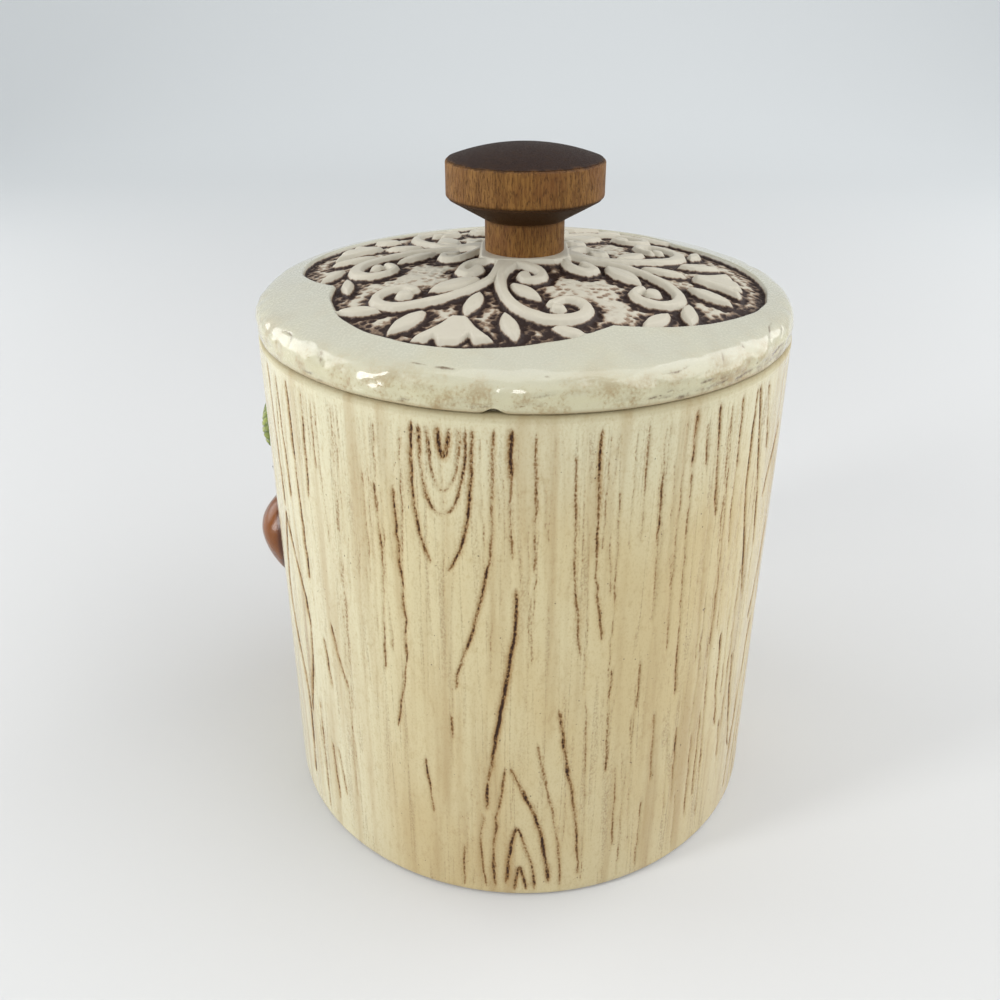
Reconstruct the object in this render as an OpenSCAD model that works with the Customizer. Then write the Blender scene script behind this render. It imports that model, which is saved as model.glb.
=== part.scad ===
// Tea canister: a straight ceramic pot, a domed ceramic lid with a carved scroll panel,
// and a turned wooden knob held by a screw from below.
// Origin at the centre of the base, +Z up, the fruit sprig faces -Y.

/* [Pot] */
// Outside radius of the pot
pot_r = 65; // [60:0.5:72]
// Height of the rim, where the lid seats
pot_h = 130; // [120:1:150]
// Thickness of the wall
wall_t = 5.5; // [4.5:0.25:7]
// Thickness of the floor
floor_t = 6.5; // [4:0.25:9]
// Rounding of the edge at the base
base_round = 1.5; // [0.5:0.25:2.5]
// Rounding of both edges of the rim
rim_round = 1.2; // [0.4:0.1:1.8]
// Rounding inside, where the wall meets the floor
chamber_round = 6; // [3:0.5:9]

/* [Lid] */
// How far the lid's edge stands out past the pot
lid_overhang = 0; // [0:0.25:2]
// Height of the dome's top above the seat
lid_h = 15.1; // [14:0.1:18]
// Radius of the dome
dome_r = 256; // [220:1:320]
// Rounding of the shoulder between the dome and the side
shoulder_round = 6.8; // [4:0.2:8]
// Rounding of the lid's lower edge
lid_edge_round = 0.8; // [0.3:0.1:1.2]
// Thickness of the dome
dome_t = 6; // [5:0.25:7]
// Room between the lid's locating ring and the mouth of the pot
ring_clearance = 1; // [0.5:0.1:2]
// Thickness of the locating ring
ring_t = 4.5; // [3:0.25:6]
// How far the locating ring reaches into the pot
ring_depth = 9; // [6:0.5:14]
// Rounding of the locating ring's lower edges
ring_round = 1; // [0.4:0.1:1.4]

/* [Knob seat] */
// Radius of the raised seat under the knob
boss_r = 11; // [10.5:0.25:14]
// Height of that seat above the dome's top
boss_h = 1; // [0.6:0.1:2]
// Rounding of the seat's edge
boss_round = 0.6; // [0.2:0.1:0.6]
// Radius of the flat pad under the dome, where the screw pulls up
pad_r = 9.5; // [9:0.25:13]
// How far the pad stands down from the dome
pad_drop = 1.5; // [1:0.25:3]
// Room round the screw in the lid and the washers
screw_room = 0.5; // [0.3:0.05:0.8]

/* [Carved panel] */
// Depth of the panel below the dome
panel_depth = 1.8; // [1.2:0.1:2.4]
// Directions of the four lobes of the panel
lobe_turns = [25, 130, 212, 297.5]; // [0:0.5:360]
// Distances of the lobes' centres from the axis
lobe_outs = [18.1, 19.4, 20, 26]; // [16:0.1:28]
// Radii of the lobes
lobe_rs = [37, 39.4, 36.5, 32.4]; // [30:0.1:40]
// Directions of the four sprays of scrolls
spray_turns = [30, 127, 211, 295]; // [0:1:360]
// Width of a spray's stem
scroll_w = 4; // [3:0.1:4.4]
// How much thinner each arc of a scroll is than the one before it
scroll_taper = 0.4; // [0.3:0.05:0.5]
// Distance from the axis at which a spray's stem divides
fork_out = 16.5; // [14:0.25:19]
// Radius of the near sweep of a spray
near_sweep_r = 19; // [16:0.5:21]
// Radius of the far sweep of a spray
far_sweep_r = 24; // [21:0.5:26]
// Radius of the near scroll's curl
near_curl_r = 5.8; // [4.5:0.1:6.5]
// Radius of the far scroll's curl
far_curl_r = 6; // [5:0.1:6.5]
// Radius of a scroll's eye
eye_r = 2.4; // [1.8:0.1:3]
// Radius of the two small curls at the root of a spray
root_curl_r = 4; // [3:0.1:5]
// Distance from the axis to the middle of a flower
flower_out = 45.75; // [44:0.25:47]
// Radius of a flower's cup
flower_r = 5.5; // [4.5:0.25:6]
// Radius of a flower's outer petals
petal_r = 3.4; // [2.5:0.1:4]

/* [Knob] */
// Radius of the knob's stem
stem_r = 9.6; // [8.5:0.1:10.4]
// Height of the straight stem
stem_h = 7.4; // [5:0.1:10]
// Height of the flare between stem and head
flare_h = 5.3; // [3:0.1:8]
// Radius of the knob's head
head_r = 18.9; // [16:0.1:22]
// Height of the head's side
head_h = 8.5; // [6:0.1:11]
// Height of the crown above the head's side
crown_h = 3.5; // [2:0.1:5]
// Rounding of the head's lower edge
head_round = 0.6; // [0.5:0.1:2.5]
// Rounding of the crown's edge
crown_round = 0.6; // [0.5:0.1:2]

/* [Fixing] */
// Radius of the screw's thread
screw_r = 2.1; // [1.8:0.05:2.6]
// How far the screw reaches into the knob
screw_reach = 14; // [9:0.5:17]
// Depth of the blind hole past the screw's tip
hole_spare = 1.2; // [0.5:0.1:2]
// Room round the thread in the knob
thread_room = 0.05; // [0.02:0.01:0.1]
// Pitch of the thread
thread_pitch = 0.9; // [0.7:0.05:1.2]
// Depth of the thread
thread_depth = 0.4; // [0.25:0.05:0.6]
// Radius of the screw's head
screw_head_r = 4.1; // [3.6:0.1:5]
// Height of the screw's head
screw_head_h = 2.6; // [1.8:0.1:3.2]
// Rounding of the screw's head
screw_head_round = 1.1; // [0.4:0.1:1.4]
// Width of the slot in the screw's head
slot_w = 1.1; // [0.8:0.1:1.5]
// Depth of that slot
slot_depth = 1.2; // [0.8:0.1:1.5]
// Radius of the steel washer
washer_r = 6.2; // [5.6:0.1:7.5]
// Thickness of the steel washer
washer_t = 1; // [0.6:0.1:1.6]
// Radius of the fibre washer against the glaze
cushion_r = 7.6; // [7:0.1:8.8]
// Thickness of the fibre washer
cushion_t = 1.2; // [0.8:0.1:2]

/* [Fruit sprig] */
// Direction in which the middle of the sprig faces
sprig_turn = -90; // [-180:1:180]
// Angle between the middle fruit and each inner fruit
inner_fruit_turn = 27; // [25.5:0.5:28]
// Angle between the middle fruit and each outer fruit
outer_fruit_turn = 54; // [52:0.5:57]
// Angle between the middle fruit and each end of the twig
twig_end_turn = 60; // [58:0.5:63]
// How far the twig lies below the rim
twig_drop = 43.5; // [38:0.5:50]
// Radius of the twig
twig_r = 1.8; // [1.4:0.1:2.2]
// How far the twig waves up and down
twig_wave = 1.8; // [0:0.1:2.4]
// How far the middle fruit and the outer fruits hang below the twig
fruit_hang = 16.5; // [14:0.25:18]
// How much lower the two inner fruits hang
fruit_drop = 13; // [10:0.5:16]
// Radius of a fruit's full end
fruit_r = 11.5; // [10.5:0.1:12]
// Radius of a fruit's narrow end
fruit_tip_r = 8.5; // [7.5:0.1:9]
// Distance between the centres of a fruit's two ends
fruit_tip_drop = 7; // [5:0.25:8]
// How far a fruit stands out of the wall
fruit_relief = 6; // [4:0.25:7]
// Radius of a fruit's stalk
stalk_r = 1.3; // [1:0.1:1.6]
// Height of the leaves' middles above the twig
leaf_rise = 14; // [13.5:0.25:17]
// Length of a leaf
leaf_l = 20; // [16:0.5:22]
// Width of a leaf
leaf_w = 10; // [8:0.25:11]
// How far a leaf stands out of the wall
leaf_relief = 2.8; // [1.8:0.1:3.4]
// How far a leaf leans away from upright
leaf_lean = 22; // [0:1:30]

/* [Hidden] */
$fn = 96;
over = 1;
fine_fn = 360;
mouth_r = pot_r - wall_t;
lid_r = pot_r + lid_overhang;
ring_r = mouth_r - ring_clearance;
hollow_r = ring_r - ring_t;
ring_z = pot_h - ring_depth;
dome_z = pot_h + lid_h;
dome_centre_z = dome_z - dome_r;
boss_z = dome_z + boss_h;
shoulder_x = lid_r - shoulder_round;
shoulder_z = dome_centre_z + sqrt(pow(dome_r - shoulder_round, 2) - pow(shoulder_x, 2));
shoulder_lean = atan2(shoulder_z - dome_centre_z, shoulder_x);
pad_z = dome_z - dome_t - pad_drop;
screw_hole_r = screw_r + screw_room;
cushion_z = pad_z - cushion_t;
washer_z = cushion_z - washer_t;
screw_head_z = washer_z - screw_head_h;
screw_tip_z = boss_z + screw_reach;
flare_z = boss_z + stem_h;
head_z = flare_z + flare_h;
crown_z = head_z + head_h;
crown_r = (pow(head_r, 2) + pow(crown_h, 2)) / (2 * crown_h);
branch_w = scroll_w - scroll_taper;
root_w = branch_w - scroll_taper;
near_arcs = [[near_sweep_r, 92], [near_curl_r, 165], [near_curl_r * 0.7, 110]];
far_arcs = [[far_sweep_r, -66], [far_curl_r, -190], [far_curl_r * 0.7, -110]];
root_arcs = [[root_curl_r * 2, 22], [root_curl_r, 120]];
// Leaves of a spray: [x, y, direction, length, width] along a spray that points to +X
spray_leaves = [
  [24.8, 9.3, 57, 12.4, 4.4],
  [33.8, 0.5, 5, 12.6, 4.2],
  [25.4, -7.8, -41, 13.4, 5.8],
  [45.5, -9.8, -20, 12.4, 5.2],
  [41.6, 11.9, 33, 13.4, 4.4],
  [39.6, 24.6, 81, 10, 3.8],
  [41.6, -22.8, -82, 11.6, 4.2]
];
twig_z = pot_h - twig_drop;
fruit_z = twig_z - fruit_hang;
fruit_axis_r = pot_r + fruit_relief - fruit_r;
fruit_top = sqrt(pow(fruit_r, 2) - pow(fruit_r - fruit_relief, 2));
fruit_turns = [-outer_fruit_turn, -inner_fruit_turn, 0, inner_fruit_turn, outer_fruit_turn];
fruit_heights = [fruit_z, fruit_z - fruit_drop, fruit_z, fruit_z - fruit_drop, fruit_z];
leaf_z = twig_z + leaf_rise;
leaf_gaps = 5;
leaf_turn_step = 2 * outer_fruit_turn / leaf_gaps;
leaf_turns = [for (i = [0 : leaf_gaps]) -outer_fruit_turn + i * leaf_turn_step];
twig_steps = 36;
stalk_steps = 2;
bead_sides = 8;
bead_lift = 0.04;

// Waste outside a rounded corner at [x, z]; sx and sz point from the corner into the material
module corner_waste(x, z, r, sx, sz) {
  translate([x, z])
    mirror([sx < 0 ? 1 : 0, 0])
      mirror([0, sz < 0 ? 1 : 0])
        difference() {
          translate([-over, -over]) square(r + over);
          translate([r, r]) circle(r);
        }
}

// Half outline of the room inside the pot
module chamber_outline() {
  difference() {
    translate([0, floor_t]) square([mouth_r, pot_h - floor_t + over]);
    corner_waste(mouth_r, floor_t, chamber_round, -1, 1);
  }
}

module pot() {
  color("ivory")
    rotate_extrude()
      difference() {
        square([pot_r, pot_h]);
        chamber_outline();
        corner_waste(pot_r, 0, base_round, -1, 1);
        corner_waste(pot_r, pot_h, rim_round, -1, -1);
        corner_waste(mouth_r, pot_h, rim_round, 1, -1);
      }
}

// Half disc of the dome's circle, drawn in by a given depth
module dome_outline(depth) {
  intersection() {
    translate([0, dome_centre_z]) circle(dome_r - depth, $fn = fine_fn);
    square([lid_r, dome_z + over]);
  }
}

// Waste outside the rounded shoulder
module shoulder_waste() {
  reach = shoulder_round * 2;
  difference() {
    polygon([
      [shoulder_x, shoulder_z],
      [lid_r + over, shoulder_z],
      [lid_r + over, dome_z],
      [shoulder_x + reach * cos(shoulder_lean), shoulder_z + reach * sin(shoulder_lean)]
    ]);
    translate([shoulder_x, shoulder_z]) circle(shoulder_round);
  }
}

// Half outline of the lid's shell with its locating ring
module shell_outline() {
  difference() {
    union() {
      difference() {
        intersection() {
          dome_outline(0);
          translate([0, pot_h]) square([lid_r, lid_h]);
        }
        shoulder_waste();
        corner_waste(lid_r, pot_h, lid_edge_round, -1, 1);
      }
      translate([0, ring_z]) square([ring_r, ring_depth + over]);
    }
    intersection() {
      dome_outline(dome_t);
      translate([0, ring_z - over]) square([hollow_r, lid_h + ring_depth + over]);
    }
    corner_waste(ring_r, ring_z, ring_round, -1, 1);
    corner_waste(hollow_r, ring_z, ring_round, 1, 1);
  }
}

// Half outline of the whole lid with the knob's seat and the screw's hole
module lid_outline() {
  difference() {
    union() {
      shell_outline();
      translate([0, pad_z]) square([pad_r, dome_t]);
      translate([0, dome_z - dome_t]) square([boss_r, dome_t + boss_h]);
    }
    corner_waste(boss_r, boss_z, boss_round, -1, -1);
    translate([0, pad_z - over]) square([screw_hole_r, boss_z - pad_z + 2 * over]);
  }
}

// Four-lobed edge of the carved panel
module panel_edge() {
  for (i = [0 : len(lobe_turns) - 1])
    rotate(lobe_turns[i]) translate([lobe_outs[i], 0]) circle(lobe_rs[i]);
}

// Arc of a stem, from just behind the origin heading along +X, turning left where turn is positive
module stem_arc(r, turn, w) {
  side = turn < 0 ? -1 : 1;
  reach = 2 * (r + w);
  lap = over / r * 180 / PI;
  sweep = abs(turn) + lap;
  steps = ceil(sweep / 60);
  translate([0, side * r])
    mirror([0, side < 0 ? 1 : 0])
      intersection() {
        difference() {
          circle(r + w / 2);
          circle(r - w / 2);
        }
        polygon(concat([[0, 0]], [for (i = [0 : steps])
            [reach * sin(i * sweep / steps - lap), -reach * cos(i * sweep / steps - lap)]]));
      }
}

// Run of arcs joined end to end, closed by a round eye; each arc is [radius, turn]
module scroll(arcs, w, i = 0) {
  r = arcs[i][0];
  turn = arcs[i][1];
  side = turn < 0 ? -1 : 1;
  stem_arc(r, turn, w);
  translate([r * sin(abs(turn)), side * r * (1 - cos(turn))])
    rotate(turn)
      if (i < len(arcs) - 1) scroll(arcs, w - scroll_taper, i + 1);
      else circle(eye_r);
}

// Pointed oval from two arcs, with its middle at [x, y]
module pointed_leaf(x, y, turn, l, w) {
  r = (pow(l, 2) + pow(w, 2)) / (4 * w);
  translate([x, y])
    rotate(turn)
      intersection() {
        translate([0, r - w / 2]) circle(r);
        translate([0, w / 2 - r]) circle(r);
      }
}

// Cup with three petals at the outer end of a spray
module flower() {
  petal_turn = 70;
  flower_side = 2.4;
  translate([flower_out, flower_side]) {
    circle(flower_r);
    for (turn = [-petal_turn, 0, petal_turn])
      rotate(turn) translate([flower_r - petal_r / 3, 0]) circle(petal_r);
  }
}

// One spray along +X: a forked stem with two scrolls, root curls, leaves and a flower
module spray() {
  root_turn = 48;
  far_turn = -2;
  translate([0, -scroll_w / 2]) square([fork_out + over, scroll_w]);
  translate([fork_out, 0]) scroll(near_arcs, branch_w);
  translate([fork_out, 0]) rotate(far_turn) scroll(far_arcs, branch_w);
  for (side = [0, 1])
    mirror([0, side]) translate([boss_r, -1]) rotate(-root_turn) scroll(root_arcs, root_w);
  for (leaf = spray_leaves)
    pointed_leaf(leaf[0], leaf[1], leaf[2], leaf[3], leaf[4]);
  flower();
}

// Ground of the panel, with the sprays and the knob's seat left standing
module panel_ground() {
  seat_land = 0.8;
  difference() {
    panel_edge();
    circle(boss_r + seat_land);
    for (turn = spray_turns)
      rotate(turn) spray();
  }
}

// Half outline of the space above the panel's ground
module panel_space_outline() {
  difference() {
    translate([boss_r, pot_h]) square([lid_r - boss_r, lid_h + over]);
    translate([0, dome_centre_z]) circle(dome_r - panel_depth, $fn = fine_fn);
  }
}

module lid() {
  color("cornsilk")
    difference() {
      rotate_extrude() lid_outline();
      intersection() {
        translate([0, 0, pot_h]) linear_extrude(lid_h + over) panel_ground();
        rotate_extrude() panel_space_outline();
      }
    }
}

module knob() {
  flare = [[stem_r, flare_z], [head_r, head_z], [0, head_z], [0, flare_z]];
  color("sienna")
    rotate_extrude()
      difference() {
        union() {
          translate([0, boss_z]) square([stem_r, stem_h]);
          polygon(flare);
          translate([0, head_z]) square([head_r, head_h]);
          intersection() {
            translate([0, crown_z + crown_h - crown_r]) circle(crown_r, $fn = fine_fn);
            translate([0, crown_z]) square([head_r, crown_h]);
          }
        }
        corner_waste(head_r, crown_z, crown_round, -1, -1);
        corner_waste(head_r, head_z, head_round, -1, 1);
        translate([0, boss_z - over]) square([screw_r + thread_room, screw_reach + hole_spare + over]);
      }
}

module knob_screw() {
  grooves = floor((screw_reach - thread_pitch) / thread_pitch);
  color("silver")
    difference() {
      rotate_extrude()
        difference() {
          union() {
            translate([0, screw_head_z]) square([screw_head_r, screw_head_h]);
            translate([0, washer_z]) square([screw_r, screw_tip_z - washer_z]);
          }
          corner_waste(screw_head_r, screw_head_z, screw_head_round, -1, 1);
          for (i = [0 : grooves])
            translate([screw_r, screw_tip_z - (i + 0.5) * thread_pitch])
              polygon([[-thread_depth, 0], [over, -thread_depth], [over, thread_depth]]);
        }
      translate([-screw_head_r - over, -slot_w / 2, screw_head_z - over])
        cube([2 * (screw_head_r + over), slot_w, slot_depth + over]);
    }
}

module knob_washer() {
  color("gainsboro")
    translate([0, 0, washer_z])
      difference() {
        cylinder(h = washer_t, r = washer_r);
        translate([0, 0, -over]) cylinder(h = washer_t + 2 * over, r = screw_hole_r);
      }
}

module cushion_washer() {
  color("saddlebrown")
    translate([0, 0, cushion_z])
      difference() {
        cylinder(h = cushion_t, r = cushion_r);
        translate([0, 0, -over]) cylinder(h = cushion_t + 2 * over, r = screw_hole_r);
      }
}

// Keeps only what stands out of the pot's wall
module outside_wall() {
  difference() {
    children();
    cylinder(h = pot_h, r = pot_r);
  }
}

// Egg with its full end at the origin and its narrow end below, the two joined by a tangent cone
module egg(r, tip_r, tip_drop) {
  slope = asin((r - tip_r) / tip_drop);
  sphere(r);
  translate([0, 0, -tip_drop]) sphere(tip_r);
  translate([0, 0, -tip_drop - tip_r * sin(slope)])
    cylinder(h = tip_drop - (r - tip_r) * sin(slope), r1 = tip_r * cos(slope), r2 = r * cos(slope));
}

// Fruit number i of the sprig, counted from 1
module fruit(i) {
  color("peru")
    outside_wall()
      rotate(sprig_turn + fruit_turns[i - 1])
        translate([fruit_axis_r, 0, fruit_heights[i - 1]])
          egg(fruit_r, fruit_tip_r, fruit_tip_drop);
}

// Leaf number i of the sprig, counted from 1; leaves lean away from the sprig's middle
module leaf(i) {
  turn = leaf_turns[i - 1];
  lean = turn < 0 ? leaf_lean : -leaf_lean;
  color("olivedrab")
    outside_wall()
      intersection() {
        cylinder(h = pot_h, r = pot_r + leaf_relief);
        rotate(sprig_turn + turn)
          translate([0, 0, leaf_z])
            rotate([90, 0, 90])
              linear_extrude(pot_r + leaf_relief + over)
                pointed_leaf(0, 0, 90 + lean, leaf_l, leaf_w);
      }
}

function wall_point(r, turn, z) =
  [r * cos(sprig_turn + turn), r * sin(sprig_turn + turn), z];

function twig_height(turn) = twig_z + twig_wave * cos(360 * turn / outer_fruit_turn);

// Half-round ring of points on the wall, upright for a run round the wall, level for a run up it
function bead_ring(turn, z, r, upright) =
  [for (i = [0 : bead_sides])
    let (
      t = 180 * i / bead_sides,
      out = pot_r + bead_lift + r * sin(t),
      aside = r * cos(t),
      aside_turn = aside / pot_r * 180 / PI
    )
      wall_point(out, upright ? turn : turn - aside_turn, upright ? z + aside : z)];

// Solid bead through a list of rings
module bead(rings) {
  m = bead_sides + 1;
  n = len(rings) - 1;
  sides = [for (i = [0 : n - 1], j = [0 : m - 1])
    let (k = (j + 1) % m)
      each [[i * m + j, (i + 1) * m + j, (i + 1) * m + k], [i * m + j, (i + 1) * m + k, i * m + k]]];
  start = [for (j = [0 : m - 1]) j];
  end = [for (j = [m - 1 : -1 : 0]) n * m + j];
  polyhedron([for (ring = rings) each ring], concat(sides, [start, end]));
}

// Twig round the wall, thinner at its ends, with a stalk down to each fruit
module twig() {
  end_r = 0.55;
  twig_rings = [for (i = [0 : twig_steps])
    let (
      along = 2 * i / twig_steps - 1,
      turn = twig_end_turn * along
    )
      bead_ring(turn, twig_height(turn), twig_r * (1 - (1 - end_r) * pow(abs(along), 3)), true)];
  color("darkolivegreen") {
    bead(twig_rings);
    for (i = [0 : len(fruit_turns) - 1]) {
      low = fruit_heights[i] + fruit_top + bead_lift;
      high = twig_height(fruit_turns[i]);
      bead([for (step = [0 : stalk_steps])
        bead_ring(fruit_turns[i], low + (high - low) * step / stalk_steps, stalk_r, false)]);
    }
  }
}

pot();
lid();
knob();
knob_screw();
knob_washer();
cushion_washer();
twig();
fruit(1);  // fruit_1
fruit(2);  // fruit_2
fruit(3);  // fruit_3
fruit(4);  // fruit_4
fruit(5);  // fruit_5
leaf(1);  // leaf_1
leaf(2);  // leaf_2
leaf(3);  // leaf_3
leaf(4);  // leaf_4
leaf(5);  // leaf_5
leaf(6);  // leaf_6
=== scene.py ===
"""Looks of a tea canister: glazed pot with wood-grain relief, carved lid, turned knob and fruit sprig."""

import logging
import math
from dataclasses import dataclass, field
from enum import Enum
from typing import Any, Dict, List, Optional, Tuple, Union

import bpy
import numpy as np
from mathutils import Matrix, Vector


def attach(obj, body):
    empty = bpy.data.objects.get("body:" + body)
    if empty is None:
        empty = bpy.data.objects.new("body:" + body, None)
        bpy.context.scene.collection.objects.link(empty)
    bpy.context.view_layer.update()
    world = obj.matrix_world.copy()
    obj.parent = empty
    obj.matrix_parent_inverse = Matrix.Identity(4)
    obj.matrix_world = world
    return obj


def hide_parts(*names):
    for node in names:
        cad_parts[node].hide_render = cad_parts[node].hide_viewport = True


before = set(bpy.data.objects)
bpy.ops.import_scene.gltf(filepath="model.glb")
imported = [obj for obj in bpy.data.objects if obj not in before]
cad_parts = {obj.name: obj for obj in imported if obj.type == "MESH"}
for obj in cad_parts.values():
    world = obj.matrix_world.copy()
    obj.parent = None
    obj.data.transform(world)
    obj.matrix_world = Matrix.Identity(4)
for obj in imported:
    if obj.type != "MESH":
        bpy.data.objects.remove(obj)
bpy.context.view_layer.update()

LOG = logging.getLogger("tea_canister")
MM = 0.001
# Degrees from the photographed side's own frame, with the viewer on -Y, to the canister's frame
PHOTO_TURN = 140.0
FROM_PHOTO = Matrix.Rotation(math.radians(PHOTO_TURN), 3, "Z")
# Cells across the noise tables, after which a noise repeats
NOISE_CELLS = 64
# For a mesh that has quads alone
NO_TRIANGLES = np.zeros((0, 3), int)

Colour = Tuple[float, float, float]
Number = Union[float, "Wire"]
Tint = Union[Colour, "Wire"]


class Body(Enum):
    """The two rigid bodies of the canister."""

    POT = "pot_body"
    LID = "lid_body"


class Wire:
    """A shader socket that takes part in Python expressions."""

    def __init__(self, bench: "Bench", socket: bpy.types.NodeSocket) -> None:
        """Keep a socket and the bench that its node stands on."""
        self.bench = bench
        self.socket = socket

    def _math(self, operation: str, first: Number, second: Number) -> "Wire":
        """Add one Math node.

        Args:
            operation: The Math node's operation.
            first: The first value.
            second: The second value.

        Returns:
            The node's result.
        """
        return self.bench.node("ShaderNodeMath", {"operation": operation}, {0: first, 1: second})

    def __add__(self, other: Number) -> "Wire":
        """Return self + other."""
        return self._math("ADD", self, other)

    def __radd__(self, other: Number) -> "Wire":
        """Return other + self."""
        return self._math("ADD", other, self)

    def __sub__(self, other: Number) -> "Wire":
        """Return self - other."""
        return self._math("SUBTRACT", self, other)

    def __rsub__(self, other: Number) -> "Wire":
        """Return other - self."""
        return self._math("SUBTRACT", other, self)

    def __mul__(self, other: Number) -> "Wire":
        """Return self * other."""
        return self._math("MULTIPLY", self, other)

    def __rmul__(self, other: Number) -> "Wire":
        """Return other * self."""
        return self._math("MULTIPLY", other, self)

    def most(self, other: Number) -> "Wire":
        """Return the larger of self and other."""
        return self._math("MAXIMUM", self, other)

    def ease(self, low: float, high: float) -> "Wire":
        """Run smoothly from 0 at low to 1 at high.

        Args:
            low: The value that gives 0.
            high: The value that gives 1.

        Returns:
            The eased value, held between 0 and 1.
        """
        settings = {"interpolation_type": "SMOOTHSTEP", "clamp": True}
        return self.bench.node("ShaderNodeMapRange", settings, {0: self, 1: low, 2: high, 3: 0.0, 4: 1.0})


class Bench:
    """A material under construction."""

    def __init__(self, name: str) -> None:
        """Start an empty node material of the given name."""
        self.material = bpy.data.materials.new(name)
        self.material.use_nodes = True
        self.tree = self.material.node_tree
        self.tree.nodes.clear()

    def node(
        self,
        kind: str,
        settings: Optional[Dict[str, Any]] = None,
        inputs: Optional[Dict[Union[str, int], Any]] = None,
        output: Union[str, int] = 0,
    ) -> Wire:
        """Make a node of any type.

        Args:
            kind: The node's type.
            settings: The node's own settings, such as an operation, set first.
            inputs: Values or wires for its sockets, by name or number.
            output: The socket that is wanted, by name or number.

        Returns:
            The wanted output.
        """
        made = self.tree.nodes.new(kind)
        for name, value in (settings or {}).items():
            setattr(made, name, value)
        for key, value in (inputs or {}).items():
            if isinstance(value, Wire):
                self.tree.links.new(value.socket, made.inputs[key])
            else:
                made.inputs[key].default_value = value
        return Wire(self, made.outputs[output])

    def place(self) -> Wire:
        """Return the point on the piece, in metres in the canister's frame."""
        return self.node("ShaderNodeTexCoord", output="Object")

    def height(self) -> Wire:
        """Return the height above the base, in millimetres."""
        return self.node("ShaderNodeSeparateXYZ", inputs={0: self.place()}, output="Z") * (1 / MM)

    def toward(self, turn: float) -> Wire:
        """Return how far a point lies from the axis towards a direction, in millimetres."""
        way = (math.cos(math.radians(turn)), math.sin(math.radians(turn)), 0.0)
        ends = {0: self.place(), 1: way}
        return self.node("ShaderNodeVectorMath", {"operation": "DOT_PRODUCT"}, ends, "Value") * (1 / MM)

    def mark(self, name: str) -> Wire:
        """Return a value that is painted on the mesh under a name."""
        return self.node("ShaderNodeAttribute", {"attribute_name": name}, output="Fac")

    def noise(self, size_mm: float, detail: float = 3.0, stretch: float = 1.0, seed: float = 0.0) -> Wire:
        """Return a noise over the piece.

        Args:
            size_mm: The size of its blotches.
            detail: How many finer layers it has.
            stretch: How many times longer the blotches are up the piece than across it.
            seed: A shift that makes noises differ.

        Returns:
            The noise, about 0 to 1.
        """
        squeezed = self.node(
            "ShaderNodeVectorMath",
            {"operation": "MULTIPLY_ADD"},
            {0: self.place(), 1: (1.0, 1.0, 1.0 / stretch), 2: (seed, seed * 0.7, seed * 1.3)},
        )
        inputs = {"Vector": squeezed, "Scale": 1.0 / (size_mm * MM), "Detail": detail, "Roughness": 0.55}
        return self.node("ShaderNodeTexNoise", {}, inputs)

    def mix(self, factor: Number, first: Tint, second: Tint) -> Wire:
        """Blend two colours.

        Args:
            factor: 0 for the first colour, 1 for the second.
            first: A colour or a wire.
            second: A colour or a wire.

        Returns:
            The blended colour.
        """
        ends = [tint if isinstance(tint, Wire) else (*tint, 1.0) for tint in (first, second)]
        return self.node("ShaderNodeMix", {"data_type": "RGBA"}, {0: factor, 6: ends[0], 7: ends[1]}, 2)

    def bump(self, height: Wire, depth_mm: float) -> Wire:
        """Turn a height into a normal.

        Args:
            height: The height, about 0 to 1.
            depth_mm: What 1 stands for.

        Returns:
            The normal.
        """
        return self.node("ShaderNodeBump", {}, {"Height": height, "Distance": depth_mm * MM, "Strength": 1.0})

    def close(self, inputs: Dict[str, Any]) -> bpy.types.Material:
        """Finish the material with one Principled shader.

        Args:
            inputs: The shader's values and wires by socket name.

        Returns:
            The finished material.
        """
        surface = self.node("ShaderNodeBsdfPrincipled", {}, inputs)
        out = self.tree.nodes.new("ShaderNodeOutputMaterial")
        self.tree.links.new(surface.socket, out.inputs["Surface"])
        return self.material


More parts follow.
